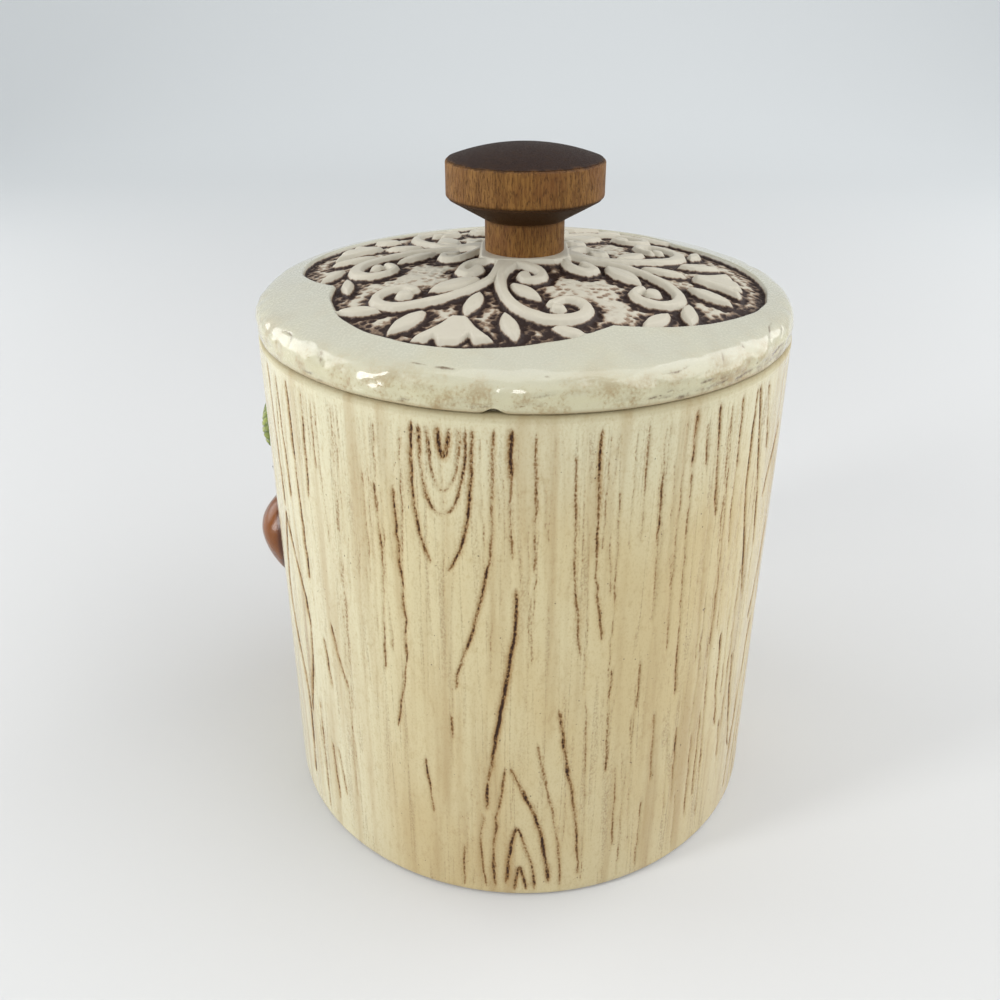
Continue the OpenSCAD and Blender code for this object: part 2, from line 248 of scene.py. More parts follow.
@dataclass(frozen=True)
class PotGlaze:
    """Cream glaze with brown stain left in the grain, painted shadow under the lid's edge and one side
    painted paler as if lit.
    """

    cream: Colour = (0.590, 0.515, 0.305)
    pale: Colour = (0.620, 0.595, 0.420)
    straw: Colour = (0.510, 0.385, 0.175)
    wash: Colour = (0.325, 0.200, 0.068)
    line: Colour = (0.185, 0.083, 0.018)
    stain: Colour = (0.026, 0.008, 0.002)
    under_lid_shadow: Colour = (0.200, 0.150, 0.062)
    inside: Colour = (0.640, 0.600, 0.460)
    bare: Colour = (0.560, 0.470, 0.340)
    # Direction of the side that is painted paler as painted light
    lit_side_turn: float = PHOTO_TURN - 152.0

    def material(self) -> bpy.types.Material:
        """Lay the stain and the grain over the cream ground.

        Returns:
            The pot's material.
        """
        bench = Bench("pot_glaze")
        height = bench.height()
        grain = bench.mark("grain")
        stipple = bench.noise(0.42, 3.0, stretch=1.5, seed=1.9)
        dashes = bench.noise(1.5, 2.0, stretch=4.0, seed=6.1)
        clouds = bench.noise(26.0, 3.0, stretch=2.4, seed=7.7)
        below_rim = 1.0 - height.ease(124.0, 128.6)
        ground = self._ground(bench, height, clouds, stipple)
        hairs = self._hairs(bench, 1.9, 36.0, 3.1).most(self._hairs(bench, 3.4, 24.0, 8.3))
        brushed = hairs * below_rim * stipple.ease(0.3, 0.7)
        ground = bench.mix(brushed * 0.36, ground, self.line)
        soaked = (bench.mark("halo") * (0.25 + 0.85 * stipple)).ease(0.05, 0.7)
        tinted = bench.mix(soaked * 0.8, ground, self.wash)
        broken = grain * (0.3 + 0.75 * stipple.ease(0.32, 0.68) + 0.6 * dashes.ease(0.34, 0.66))
        drawn = bench.mix(broken.ease(0.12, 0.6) * 0.85, tinted, self.line)
        core = broken.ease(0.5, 0.85)
        outer = bench.mix(core * 0.95, drawn, self.stain)
        specks = bench.noise(0.9, 1.0, seed=12.0).ease(0.76, 0.8) * below_rim
        outer = bench.mix(specks * 0.7, outer, self.stain)
        # Painted shadow under the lid's edge: a brown band below the rim and a darker line on the rim itself
        outer = bench.mix(height.ease(127.6, 129.2) * (0.1 + 0.4 * clouds), outer, self.under_lid_shadow)
        outer = bench.mix(height.ease(128.9, 129.6) * 0.45, outer, self.under_lid_shadow)
        lining = bench.mix(bench.mark("inside"), outer, self.inside)
        colour = bench.mix(bench.mark("bare"), lining, self.bare)
        ripple = bench.noise(9.0, 1.0, stretch=1.6, seed=5.0)
        normal = bench.bump(ripple - 0.5 * brushed, 0.15)
        matt = broken.ease(0.1, 0.5).most(height.ease(127.6, 129.0))
        rough = 0.2 + 0.35 * matt + 0.07 * stipple + 0.3 * bench.mark("bare")
        return bench.close({
            "Base Color": colour, "Roughness": rough, "Normal": normal,
            "IOR": 1.5, "Specular IOR Level": 0.25,
            "Coat Weight": 0.45 - 0.45 * matt, "Coat Roughness": 0.06,
        })

    def _ground(self, bench: Bench, height: Wire, clouds: Wire, stipple: Wire) -> Wire:
        """Return the glaze under the grain.

        Args:
            bench: The material under construction.
            height: The height above the base.
            clouds: A broad noise.
            stipple: A fine noise.

        Returns:
            The colour.
        """
        bands = bench.noise(5.0, 3.0, stretch=18.0, seed=4.2)
        colour = bench.mix(clouds.ease(0.36, 0.66) * 0.56, self.cream, self.straw)
        colour = bench.mix(height.ease(95.0, 127.0) * 0.7, colour, self.pale)
        # Painted light: the side facing the window_left lamp is painted paler, and the darker wash towards
        # the foot is held back there
        painted_light_side = bench.toward(self.lit_side_turn).ease(50.0, 62.0)
        colour = bench.mix(painted_light_side * 0.65, colour, self.pale)
        foot = 0.16 * (1.0 - height.ease(0.0, 80.0)) * (1.0 - painted_light_side)
        colour = bench.mix(bands.ease(0.45, 0.72) * 0.42 + foot, colour, self.wash)
        mottle = bench.noise(1.3, 3.0, stretch=2.0, seed=15.0).ease(0.5, 0.74) * 0.2
        return bench.mix(mottle + stipple.ease(0.48, 0.74) * 0.22, colour, self.wash)

    @staticmethod
    def _hairs(bench: Bench, size_mm: float, stretch: float, seed: float) -> Wire:
        """Return thin upright lines that come and go.

        Args:
            bench: The material under construction.
            size_mm: The distance between lines.
            stretch: How many times longer they are than that.
            seed: A shift that makes layers differ.

        Returns:
            The lines, 1 at their middles.
        """
        field_of_lines = bench.noise(size_mm, 1.0, stretch=stretch, seed=seed)
        off = (field_of_lines - 0.5) * (field_of_lines - 0.5)
        thin = 1.0 - off.ease(0.0, 0.0014)
        return thin * bench.noise(size_mm * 2.2, 2.0, stretch=12.0, seed=seed + 0.5).ease(0.48, 0.66)


@dataclass(frozen=True)
class LidGlaze:
    """Greyer cream glaze, with dark brown stain rubbed into the carved panel, painted shade with the stain at
    the carving's feet and down the panel's edge, painted shade along the lid's lower edge, and a top kept
    greyer than the side partly as painted reflection.
    """

    cream: Colour = (0.455, 0.445, 0.355)
    side: Colour = (0.520, 0.490, 0.325)
    crest: Colour = (0.480, 0.446, 0.362)
    stain: Colour = (0.020, 0.008, 0.005)
    wash: Colour = (0.235, 0.150, 0.092)
    smudge_and_seam_shade: Colour = (0.285, 0.186, 0.070)
    scratch: Colour = (0.105, 0.062, 0.028)
    inside: Colour = (0.620, 0.580, 0.450)

    def material(self) -> bpy.types.Material:
        """Lay the scratches and the stain over the cream ground.

        Returns:
            The lid's material.
        """
        bench = Bench("lid_glaze")
        height = bench.height()
        panel = bench.mark("panel")
        sponge = bench.noise(0.6, 3.0, seed=4.4)
        ground = self._ground(bench, height, panel, sponge)
        marked = (bench.mark("grain") * (0.3 + 1.3 * sponge)).ease(0.2, 0.75)
        ground = bench.mix(marked * 0.85, ground, self.scratch)
        # The stain mark also holds painted shade at the carving's feet and down the panel's edge
        dark = (bench.mark("stain") * (0.5 + 1.0 * sponge)).ease(0.1, 0.9)
        brown = bench.mix(dark.ease(0.0, 0.5) * 0.9, ground, self.wash)
        glazed = bench.mix(dark.ease(0.25, 1.0), brown, self.stain)
        colour = bench.mix(bench.mark("inside"), glazed, self.inside)
        ripple = bench.noise(7.0, 2.0, seed=6.0)
        normal = bench.bump(ripple + 0.12 * sponge, 0.14)
        rough = 0.22 + 0.16 * panel + 0.2 * dark + 0.1 * sponge
        return bench.close({
            "Base Color": colour, "Roughness": rough, "Normal": normal,
            "IOR": 1.5, "Specular IOR Level": 0.25,
            "Coat Weight": 0.7 - 0.65 * panel, "Coat Roughness": 0.05,
        })

    def _ground(self, bench: Bench, height: Wire, panel: Wire, sponge: Wire) -> Wire:
        """Return the glaze with its smudges and the painted shade along its lower edge, before the stain.

        Args:
            bench: The material under construction.
            height: The height above the base.
            panel: 1 inside the carved panel.
            sponge: A fine noise.

        Returns:
            The colour.
        """
        clouds = bench.noise(20.0, 3.0, seed=2.2)
        smear = bench.noise(6.0, 5.0, seed=9.1)
        # Partly painted reflection: the upward-facing top is kept greyer than the yellower side, as glaze
        # looks when it mirrors the room
        on_side = 1.0 - height.ease(132.5, 139.0)
        colour = bench.mix(on_side, self.cream, self.side)
        colour = bench.mix(clouds.ease(0.45, 0.75) * 0.3, colour, self.side)
        colour = bench.mix(panel, colour, self.crest)
        dirty = (smear * (0.6 + 0.8 * sponge)).ease(0.42, 0.74) * (1.0 - panel) * (0.15 + on_side)
        colour = bench.mix(dirty * 0.62, colour, self.smudge_and_seam_shade)
        flecks = sponge.ease(0.54, 0.74) * (0.14 + 0.7 * on_side)
        colour = bench.mix(flecks * 0.4, colour, self.smudge_and_seam_shade)
        # Painted shade along the lid's lowest edge, where it meets the pot, in the smudge and scratch colours
        colour = bench.mix((1.0 - height.ease(130.1, 131.3)) * 0.6, colour, self.smudge_and_seam_shade)
        return bench.mix((1.0 - height.ease(130.1, 130.5)) * 0.35, colour, self.scratch)


@dataclass(frozen=True)
class KnobWood:
    """Open-pored brown wood with a darkened crown and painted shade, with some stain, under the head."""

    light: Colour = (0.235, 0.116, 0.031)
    middle: Colour = (0.116, 0.049, 0.012)
    ruddy: Colour = (0.135, 0.050, 0.017)
    pore_and_shade: Colour = (0.032, 0.013, 0.004)
    crown: Colour = (0.017, 0.008, 0.006)
    crown_z: float = 167.4
    flare_z: float = 153.6
    head_z: float = 159.2

    def material(self) -> bpy.types.Material:
        """Grain the wood and darken its crown.

        Returns:
            The knob's material.
        """
        bench = Bench("knob_wood")
        height = bench.height()
        bands = bench.noise(3.0, 3.0, stretch=7.0, seed=1.0)
        fibres = bench.noise(0.42, 3.0, stretch=7.0, seed=2.0)
        pores = bench.noise(0.30, 2.0, stretch=5.0, seed=3.0)
        blush = bench.noise(9.0, 2.0, seed=4.0)
        body = bench.mix(bands.ease(0.32, 0.7) * 0.45 + fibres.ease(0.4, 0.6) * 0.55, self.middle, self.light)
        body = bench.mix(blush.ease(0.4, 0.7) * 0.45, body, self.ruddy)
        pitted = pores.ease(0.54, 0.67)
        body = bench.mix(pitted * 0.5, body, self.pore_and_shade)
        # Painted shade, with some stain, on the cone under the head and the top of the stem
        above_stem = height.ease(self.flare_z - 0.9, self.flare_z + 0.7)
        under_head_shade = above_stem * (1.0 - height.ease(self.head_z - 0.6, self.head_z + 0.6))
        body = bench.mix(under_head_shade * 0.9, body, self.pore_and_shade)
        edge = height + 1.2 * (bench.noise(2.4, 3.0, seed=6.0) - 0.5)
        top = edge.ease(self.crown_z - 0.7, self.crown_z + 0.4)
        rubbed = bench.mix(bench.noise(1.6, 4.0, seed=5.0).ease(0.45, 0.8) * 0.5, self.crown, self.pore_and_shade)
        colour = bench.mix(top * 0.97, body, rubbed)
        normal = bench.bump(fibres - 0.8 * pitted, 0.12)
        rough = 0.5 + 0.2 * pitted + 0.08 * top
        return bench.close({
            "Base Color": colour, "Roughness": rough, "Normal": normal,
            "IOR": 1.45, "Specular IOR Level": 0.16,
        })


@dataclass(frozen=True)
class ColourGlaze:
    """A coloured glaze that pools dark in hollows and breaks pale on crests."""

    name: str
    body: Colour
    pool: Colour
    crest: Colour
    mottle_mm: float = 4.0

    def material(self) -> bpy.types.Material:
        """Let the glaze pool in the hollows and break on the crests.

        Returns:
            The glaze's material.
        """
        bench = Bench(self.name)
        hollow = bench.mark("hollow")
        mottle = bench.noise(self.mottle_mm, 4.0, seed=2.5)
        fleck = bench.noise(0.8, 2.0, seed=8.5)
        colour = bench.mix(mottle.ease(0.35, 0.75) * 0.5, self.body, self.pool)
        colour = bench.mix((1.0 - hollow).ease(0.55, 1.0) * 0.5, colour, self.crest)
        colour = bench.mix(hollow.ease(0.3, 0.95) * 0.85, colour, self.pool)
        colour = bench.mix(fleck.ease(0.66, 0.76) * 0.35, colour, self.pool)
        normal = bench.bump(mottle + 0.2 * fleck, 0.2)
        rough = 0.17 + 0.14 * fleck
        return bench.close({
            "Base Color": colour, "Roughness": rough, "Normal": normal, "IOR": 1.5,
            "Specular IOR Level": 0.28, "Coat Weight": 0.12, "Coat Roughness": 0.06,
        })


@dataclass(frozen=True)
class PlatedSteel:
    """Zinc-plated steel with a fine turned grain and dull patches."""

    name: str
    bright: Colour = (0.62, 0.62, 0.60)
    dull: Colour = (0.30, 0.29, 0.27)

    def material(self) -> bpy.types.Material:
        """Dull the plating in patches.

        Returns:
            The metal's material.
        """
        bench = Bench(self.name)
        patches = bench.noise(1.8, 3.0, seed=1.5)
        grain = bench.noise(0.25, 2.0, seed=6.5)
        colour = bench.mix(patches.ease(0.45, 0.75), self.bright, self.dull)
        rough = 0.26 + 0.25 * patches + 0.1 * grain
        normal = bench.bump(grain, 0.02)
        return bench.close({"Base Color": colour, "Metallic": 1.0, "Roughness": rough, "Normal": normal})


@dataclass(frozen=True)
class PressedFibre:
    """Matt red-brown pressed fibre."""

    body: Colour = (0.200, 0.085, 0.045)
    worn: Colour = (0.300, 0.160, 0.095)

    def material(self) -> bpy.types.Material:
        """Wear the fibre a little paler in places.

        Returns:
            The fibre's material.
        """
        bench = Bench("washer_fibre")
        fibres = bench.noise(0.5, 4.0, seed=3.5)
        colour = bench.mix(fibres.ease(0.4, 0.7), self.body, self.worn)
        normal = bench.bump(fibres, 0.06)
        return bench.close({"Base Color": colour, "Roughness": 0.7 + 0.2 * fibres, "Normal": normal})


def smooth(low: float, high: float, value: np.ndarray) -> np.ndarray:
    """Run smoothly from 0 at low to 1 at high.

    Args:
        low: The value that gives 0.
        high: The value that gives 1.
        value: The values to ease.

    Returns:
        The eased values.
    """
    t = np.clip((value - low) / (high - low), 0.0, 1.0)
    return t * t * (3.0 - 2.0 * t)


def carved(inset: np.ndarray, shoulder: float = 1.25) -> np.ndarray:
    """Return the height of a carved shape, from 0 to 1, at a distance inside its outline."""
    return smooth(-0.3, shoulder, inset)


def rounded(off: np.ndarray, half: Union[float, np.ndarray]) -> np.ndarray:
    """Return the round back of a carved stroke, at a distance off its middle line and for its half width."""
    return carved(half - off) * (0.86 + 0.14 * np.clip(1.0 - (off / half) ** 2, 0.0, 1.0))


def turned_into(x: np.ndarray, y: np.ndarray, turn: float) -> Tuple[np.ndarray, np.ndarray]:
    """Return coordinates along and across a direction, given in degrees."""
    c, s = math.cos(math.radians(turn)), math.sin(math.radians(turn))
    return x * c + y * s, y * c - x * s


def arc_points(
    x: float, z: float, r: float, start: float, end: float, steps: int
) -> List[Tuple[float, float]]:
    """Return points along an arc in a half outline.

    Args:
        x: The centre's distance from the axis.
        z: The centre's height.
        r: The arc's radius.
        start: The first point's direction in degrees.
        end: The last point's direction in degrees.
        steps: The number of gaps between points.

    Returns:
        The points, both ends included.
    """
    turns = np.radians(np.linspace(start, end, steps + 1))
    return [(x + r * math.cos(t), z + r * math.sin(t)) for t in turns]


def straight(start: Tuple[float, float], end: Tuple[float, float], steps: int) -> List[Tuple[float, float]]:
    """Return points along a straight stretch of an outline, without its ends."""
    ts = [i / steps for i in range(1, steps)]
    return [(start[0] + (end[0] - start[0]) * t, start[1] + (end[1] - start[1]) * t) for t in ts]


def soft_noise(x: np.ndarray, y: np.ndarray, size: float, seed: int) -> np.ndarray:
    """Return a smooth seeded noise from -1 to 1 over the plane.

    Args:
        x: The first coordinates.
        y: The second coordinates.
        size: The size of its blotches.
        seed: The seed.

    Returns:
        The noise at each point.
    """
    table = np.random.default_rng(seed).uniform(-1.0, 1.0, (NOISE_CELLS, NOISE_CELLS))
    u, v = x / size, y / size
    i, j = np.floor(u).astype(int), np.floor(v).astype(int)
    s, t = smooth(0.0, 1.0, u - i), smooth(0.0, 1.0, v - j)
    corner = [[table[(i + a) % NOISE_CELLS, (j + b) % NOISE_CELLS] for b in (0, 1)] for a in (0, 1)]
    low = corner[0][0] * (1 - t) + corner[0][1] * t
    high = corner[1][0] * (1 - t) + corner[1][1] * t
    return low * (1 - s) + high * s


def curve_through(knots: np.ndarray, step: float) -> np.ndarray:
    """Return points along a smooth curve through knots.

    Args:
        knots: Rows that begin with two coordinates; further columns run smoothly along.
        step: The distance between points.

    Returns:
        Rows like the knots.
    """
    padded = np.vstack([2 * knots[0] - knots[1], knots, 2 * knots[-1] - knots[-2]])
    runs = []
    for p0, p1, p2, p3 in zip(padded, padded[1:], padded[2:], padded[3:]):
        count = max(2, int(np.linalg.norm(p2[:2] - p1[:2]) / step))
        t = np.linspace(0.0, 1.0, count, endpoint=False)[:, None]
        bend = 2 * p1 + (p2 - p0) * t + (2 * p0 - 5 * p1 + 4 * p2 - p3) * t ** 2
        runs.append(0.5 * (bend + (3 * p1 - p0 - 3 * p2 + p3) * t ** 3))
    return np.vstack(runs + [knots[-1:]])


def pit_distance(x: np.ndarray, y: np.ndarray, size: float, seed: int) -> np.ndarray:
    """Return the distance to the nearest of a scatter of seeded points, one to a cell.

    Args:
        x: The first coordinates.
        y: The second coordinates.
        size: The width of a cell.
        seed: The seed.

    Returns:
        The distance in cells.
    """
    rng = np.random.default_rng(seed)
    shift = rng.uniform(0.12, 0.88, (NOISE_CELLS, NOISE_CELLS, 2))
    u, v = x / size, y / size
    i, j = np.floor(u).astype(int), np.floor(v).astype(int)
    best = np.full(x.shape, 9.0)
    for a in (-1, 0, 1):
        for b in (-1, 0, 1):
            spot = shift[(i + a) % NOISE_CELLS, (j + b) % NOISE_CELLS]
            best = np.minimum(best, np.hypot(u - i - a - spot[..., 0], v - j - b - spot[..., 1]))
    return best


def make_piece(
    name: str,
    points: np.ndarray,
    quads: np.ndarray,
    triangles: np.ndarray,
    marks: Dict[str, np.ndarray],
) -> bpy.types.Object:
    """Make a smooth mesh piece and put it in the scene.

    Args:
        name: The piece's name.
        points: The points in millimetres.
        quads: Rows of four point numbers.
        triangles: Rows of three point numbers.
        marks: Values painted on the points, by name.

    Returns:
        The new object.
    """
    mesh = bpy.data.meshes.new(name)
    corners = np.concatenate([quads.ravel(), triangles.ravel()]).astype(np.int32)
    sizes = np.concatenate([np.full(len(quads), 4), np.full(len(triangles), 3)]).astype(np.int32)
    starts = np.concatenate([[0], np.cumsum(sizes)[:-1]]).astype(np.int32)
    mesh.vertices.add(len(points))
    mesh.vertices.foreach_set("co", (points * MM).astype(np.float32).ravel())
    mesh.loops.add(len(corners))
    mesh.loops.foreach_set("vertex_index", corners)
    mesh.polygons.add(len(sizes))
    mesh.polygons.foreach_set("loop_start", starts)
    mesh.update(calc_edges=True)
    mesh.shade_smooth()
    for label, values in marks.items():
        layer = mesh.attributes.new(label, "FLOAT", "POINT")
        layer.data.foreach_set("value", np.ascontiguousarray(values, np.float32).ravel())
    piece = bpy.data.objects.new(name, mesh)
    bpy.context.scene.collection.objects.link(piece)
    return piece


def grid_quads(rows: int, columns: int, close_rows: bool, close_columns: bool) -> np.ndarray:
    """Return the quads of a grid of points.

    Args:
        rows: The number of rows.
        columns: The number of columns.
        close_rows: Whether the last row joins the first.
        close_columns: Whether the last column joins the first.

    Returns:
        Rows of four point numbers.
    """
    i = np.arange(rows if close_rows else rows - 1)[:, None]
    j = np.arange(columns if close_columns else columns - 1)[None, :]
    up, on = (i + 1) % rows, (j + 1) % columns
    quads = np.stack([i * columns + j, i * columns + on, up * columns + on, up * columns + j], -1)
    return quads.reshape(-1, 4)


def fan(tip: int, first: int, columns: int, turned: bool) -> np.ndarray:
    """Return the triangles from a tip to a closed row of points.

    Args:
        tip: The number of the tip.
        first: The number of the row's first point.
        columns: The number of points in the row.
        turned: Whether the triangles run the other way round.

    Returns:
        Rows of three point numbers.
    """
    around = first + np.arange(columns)
    after = np.roll(around, -1)
    pair = (after, around) if turned else (around, after)
    return np.stack([np.full(columns, tip), *pair], -1)


def dress(piece: bpy.types.Object, material: bpy.types.Material) -> None:
    """Give a piece one material all over."""
    piece.data.materials.clear()
    piece.data.materials.append(material)


def settle(piece: bpy.types.Object, body: Body, slot: str, *nodes: str) -> None:
    """Let a new piece ride on a body in place of one or more nodes.

    Args:
        piece: The new piece.
        body: The body it moves with.
        slot: Not used.
        nodes: The nodes it stands for.
    """
    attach(piece, body.value)
    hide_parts(*nodes)
    LOG.info("%s: %d faces, for %s", piece.name, len(piece.data.polygons), ", ".join(nodes))


@dataclass(frozen=True)
class GrainLine:
    """One groove of the wood grain: (degrees, millimetres) along it, its strength and its width."""

    route: Tuple[Tuple[float, float], ...]
    strength: float = 0.7
    width: float = 0.58

    def turned(self, turn: float, mirrored: bool = False, about: float = 0.0) -> "GrainLine":
        """Return the line moved round the wall.

        Args:
            turn: Degrees to add.
            mirrored: Whether to mirror it first.
            about: The direction to mirror it about.

        Returns:
            The moved line.
        """
        side = -1.0 if mirrored else 1.0
        route = tuple((about + side * (a - about) + turn, z) for a, z in self.route)
        return GrainLine(route, self.strength, self.width)

    def samples(self, radius: float, step: float) -> np.ndarray:
        """Return points along a smooth curve through the route.

        Args:
            radius: The radius of the wall.
            step: The distance between points.

        Returns:
            Rows of distance round the wall and height.
        """
        return curve_through(np.array([(math.radians(a) * radius, z) for a, z in self.route]), step)


@dataclass
class GrainField:
    """Groove and stain values over a wall, painted with a soft brush."""

    heights: np.ndarray
    columns: int
    radius: float
    seed: int = 5
    brush: float = 1.0
    spread: float = 3.3
    core_fall: float = 1.6
    halo_fall: float = 0.22
    step: float = 0.4

    def __post_init__(self) -> None:
        """Start with a bare wall."""
        self.grain = np.zeros((len(self.heights), self.columns))
        self.halo = np.zeros_like(self.grain)
        self.rng = np.random.default_rng(self.seed)
        self.column_step = 2 * math.pi * self.radius / self.columns
        self.row_step = float(np.mean(np.diff(self.heights)))

    def draw(self, line: GrainLine) -> None:
        """Paint one line into the field, broken up a little along its length.

        Args:
            line: The line to paint.
        """
        spots = line.samples(self.radius, self.step)
        count = len(spots)
        beats = self.rng.uniform(0.55, 1.15, max(3, count // 11))
        press = np.interp(np.linspace(0, 1, count), np.linspace(0, 1, len(beats)), beats)
        ends = np.minimum(np.arange(count), np.arange(count)[::-1]) * self.step
        press *= smooth(-0.8, 2.5, ends) * line.strength
        bends = self.rng.normal(0.0, 0.13, max(3, count // 6))
        spots[:, 0] += np.interp(np.linspace(0, 1, count), np.linspace(0, 1, len(bends)), bends)
        width = line.width * self.brush
        reach = self.spread * width
        across = int(math.ceil(reach / self.column_step))
        along = int(math.ceil(reach / self.row_step))
        j0 = np.rint(spots[:, 0] / self.column_step).astype(int)
        i0 = np.rint((spots[:, 1] - self.heights[0]) / self.row_step).astype(int)
        for di in range(-along, along + 1):
            for dj in range(-across, across + 1):
                i, j = i0 + di, j0 + dj
                ok = (i >= 0) & (i < len(self.heights))
                far = np.hypot(
                    j[ok] * self.column_step - spots[ok, 0], self.heights[i[ok]] - spots[ok, 1]
                ) / width
                where = (i[ok], j[ok] % self.columns)
                np.maximum.at(self.grain, where, press[ok] * np.exp(-far ** 2 * self.core_fall))
                np.maximum.at(self.halo, where, press[ok] * np.exp(-far ** 2 * self.halo_fall))


# Knots of the visible grain: degrees round the photographed side, millimetres above the base
ARCH = (
    GrainLine((
        (-105.4, 127.6), (-104.9, 122.6), (-104.1, 120.2), (-103.3, 122.6), (-102.9, 127.3),
    ), 0.95, 0.8),
    GrainLine((
        (-107.2, 127.3), (-106.6, 119.0), (-105.6, 114.5), (-104.2, 112.6), (-102.6, 114.6), (-101.4, 120.0),
        (-101.2, 127.6),
    ), 0.62, 0.6),
    GrainLine((
        (-108.6, 127.3), (-108.4, 117.0), (-107.6, 111.2), (-105.6, 107.4), (-103.6, 107.6), (-101.8, 111.0),
        (-100.5, 117.0), (-100.0, 127.6),
    ), 0.8),
    GrainLine(((-110.0, 127.6), (-110.3, 114.2), (-109.5, 104.0), (-108.2, 98.2), (-106.9, 94.4)), 0.88),
    GrainLine(((-98.8, 127.6), (-99.5, 110.8), (-101.0, 100.8), (-102.4, 96.4), (-103.9, 93.2)), 0.88),
)
FLAME = (
    GrainLine(((-91.0, 1.4), (-90.6, 6.0), (-89.9, 9.6), (-89.0, 6.0), (-88.3, 1.4)), 0.95, 0.6),
    GrainLine(((-90.5, 23.5), (-92.0, 15.0), (-92.8, 3.4)), 1.05, 0.68),
    GrainLine(((-90.5, 23.5), (-88.8, 16.8), (-87.2, 10.0), (-86.5, 1.7)), 0.85),
    GrainLine(((-93.0, 42.0), (-93.8, 33.0), (-95.0, 23.5), (-95.5, 13.4), (-95.0, 1.7)), 0.78),
    GrainLine(((-92.2, 42.0), (-89.5, 34.4), (-86.5, 25.2), (-85.0, 16.8), (-83.5, 3.4)), 1.0, 0.68),
    GrainLine(((-86.8, 50.0), (-85.2, 39.5), (-83.0, 26.9), (-81.5, 13.4), (-81.0, 1.7)), 0.66),
    GrainLine(((-82.5, 58.8), (-80.5, 42.0), (-78.8, 30.2), (-77.5, 15.0), (-77.2, 5.0)), 0.88),
)
LENS = (
    GrainLine((
        (-150.8, 90.7), (-153.2, 77.3), (-154.5, 65.5), (-153.0, 57.1), (-149.5, 45.3), (-147.8, 35.3),
        (-148.0, 23.5), (-149.2, 8.4),
    ), 1.1, 0.8),
    GrainLine((
        (-150.8, 89.0), (-147.0, 79.0), (-144.0, 70.5), (-142.8, 62.1), (-143.5, 52.0),
        (-145.2, 40.3), (-146.5, 31.9),
    ), 1.05),
)
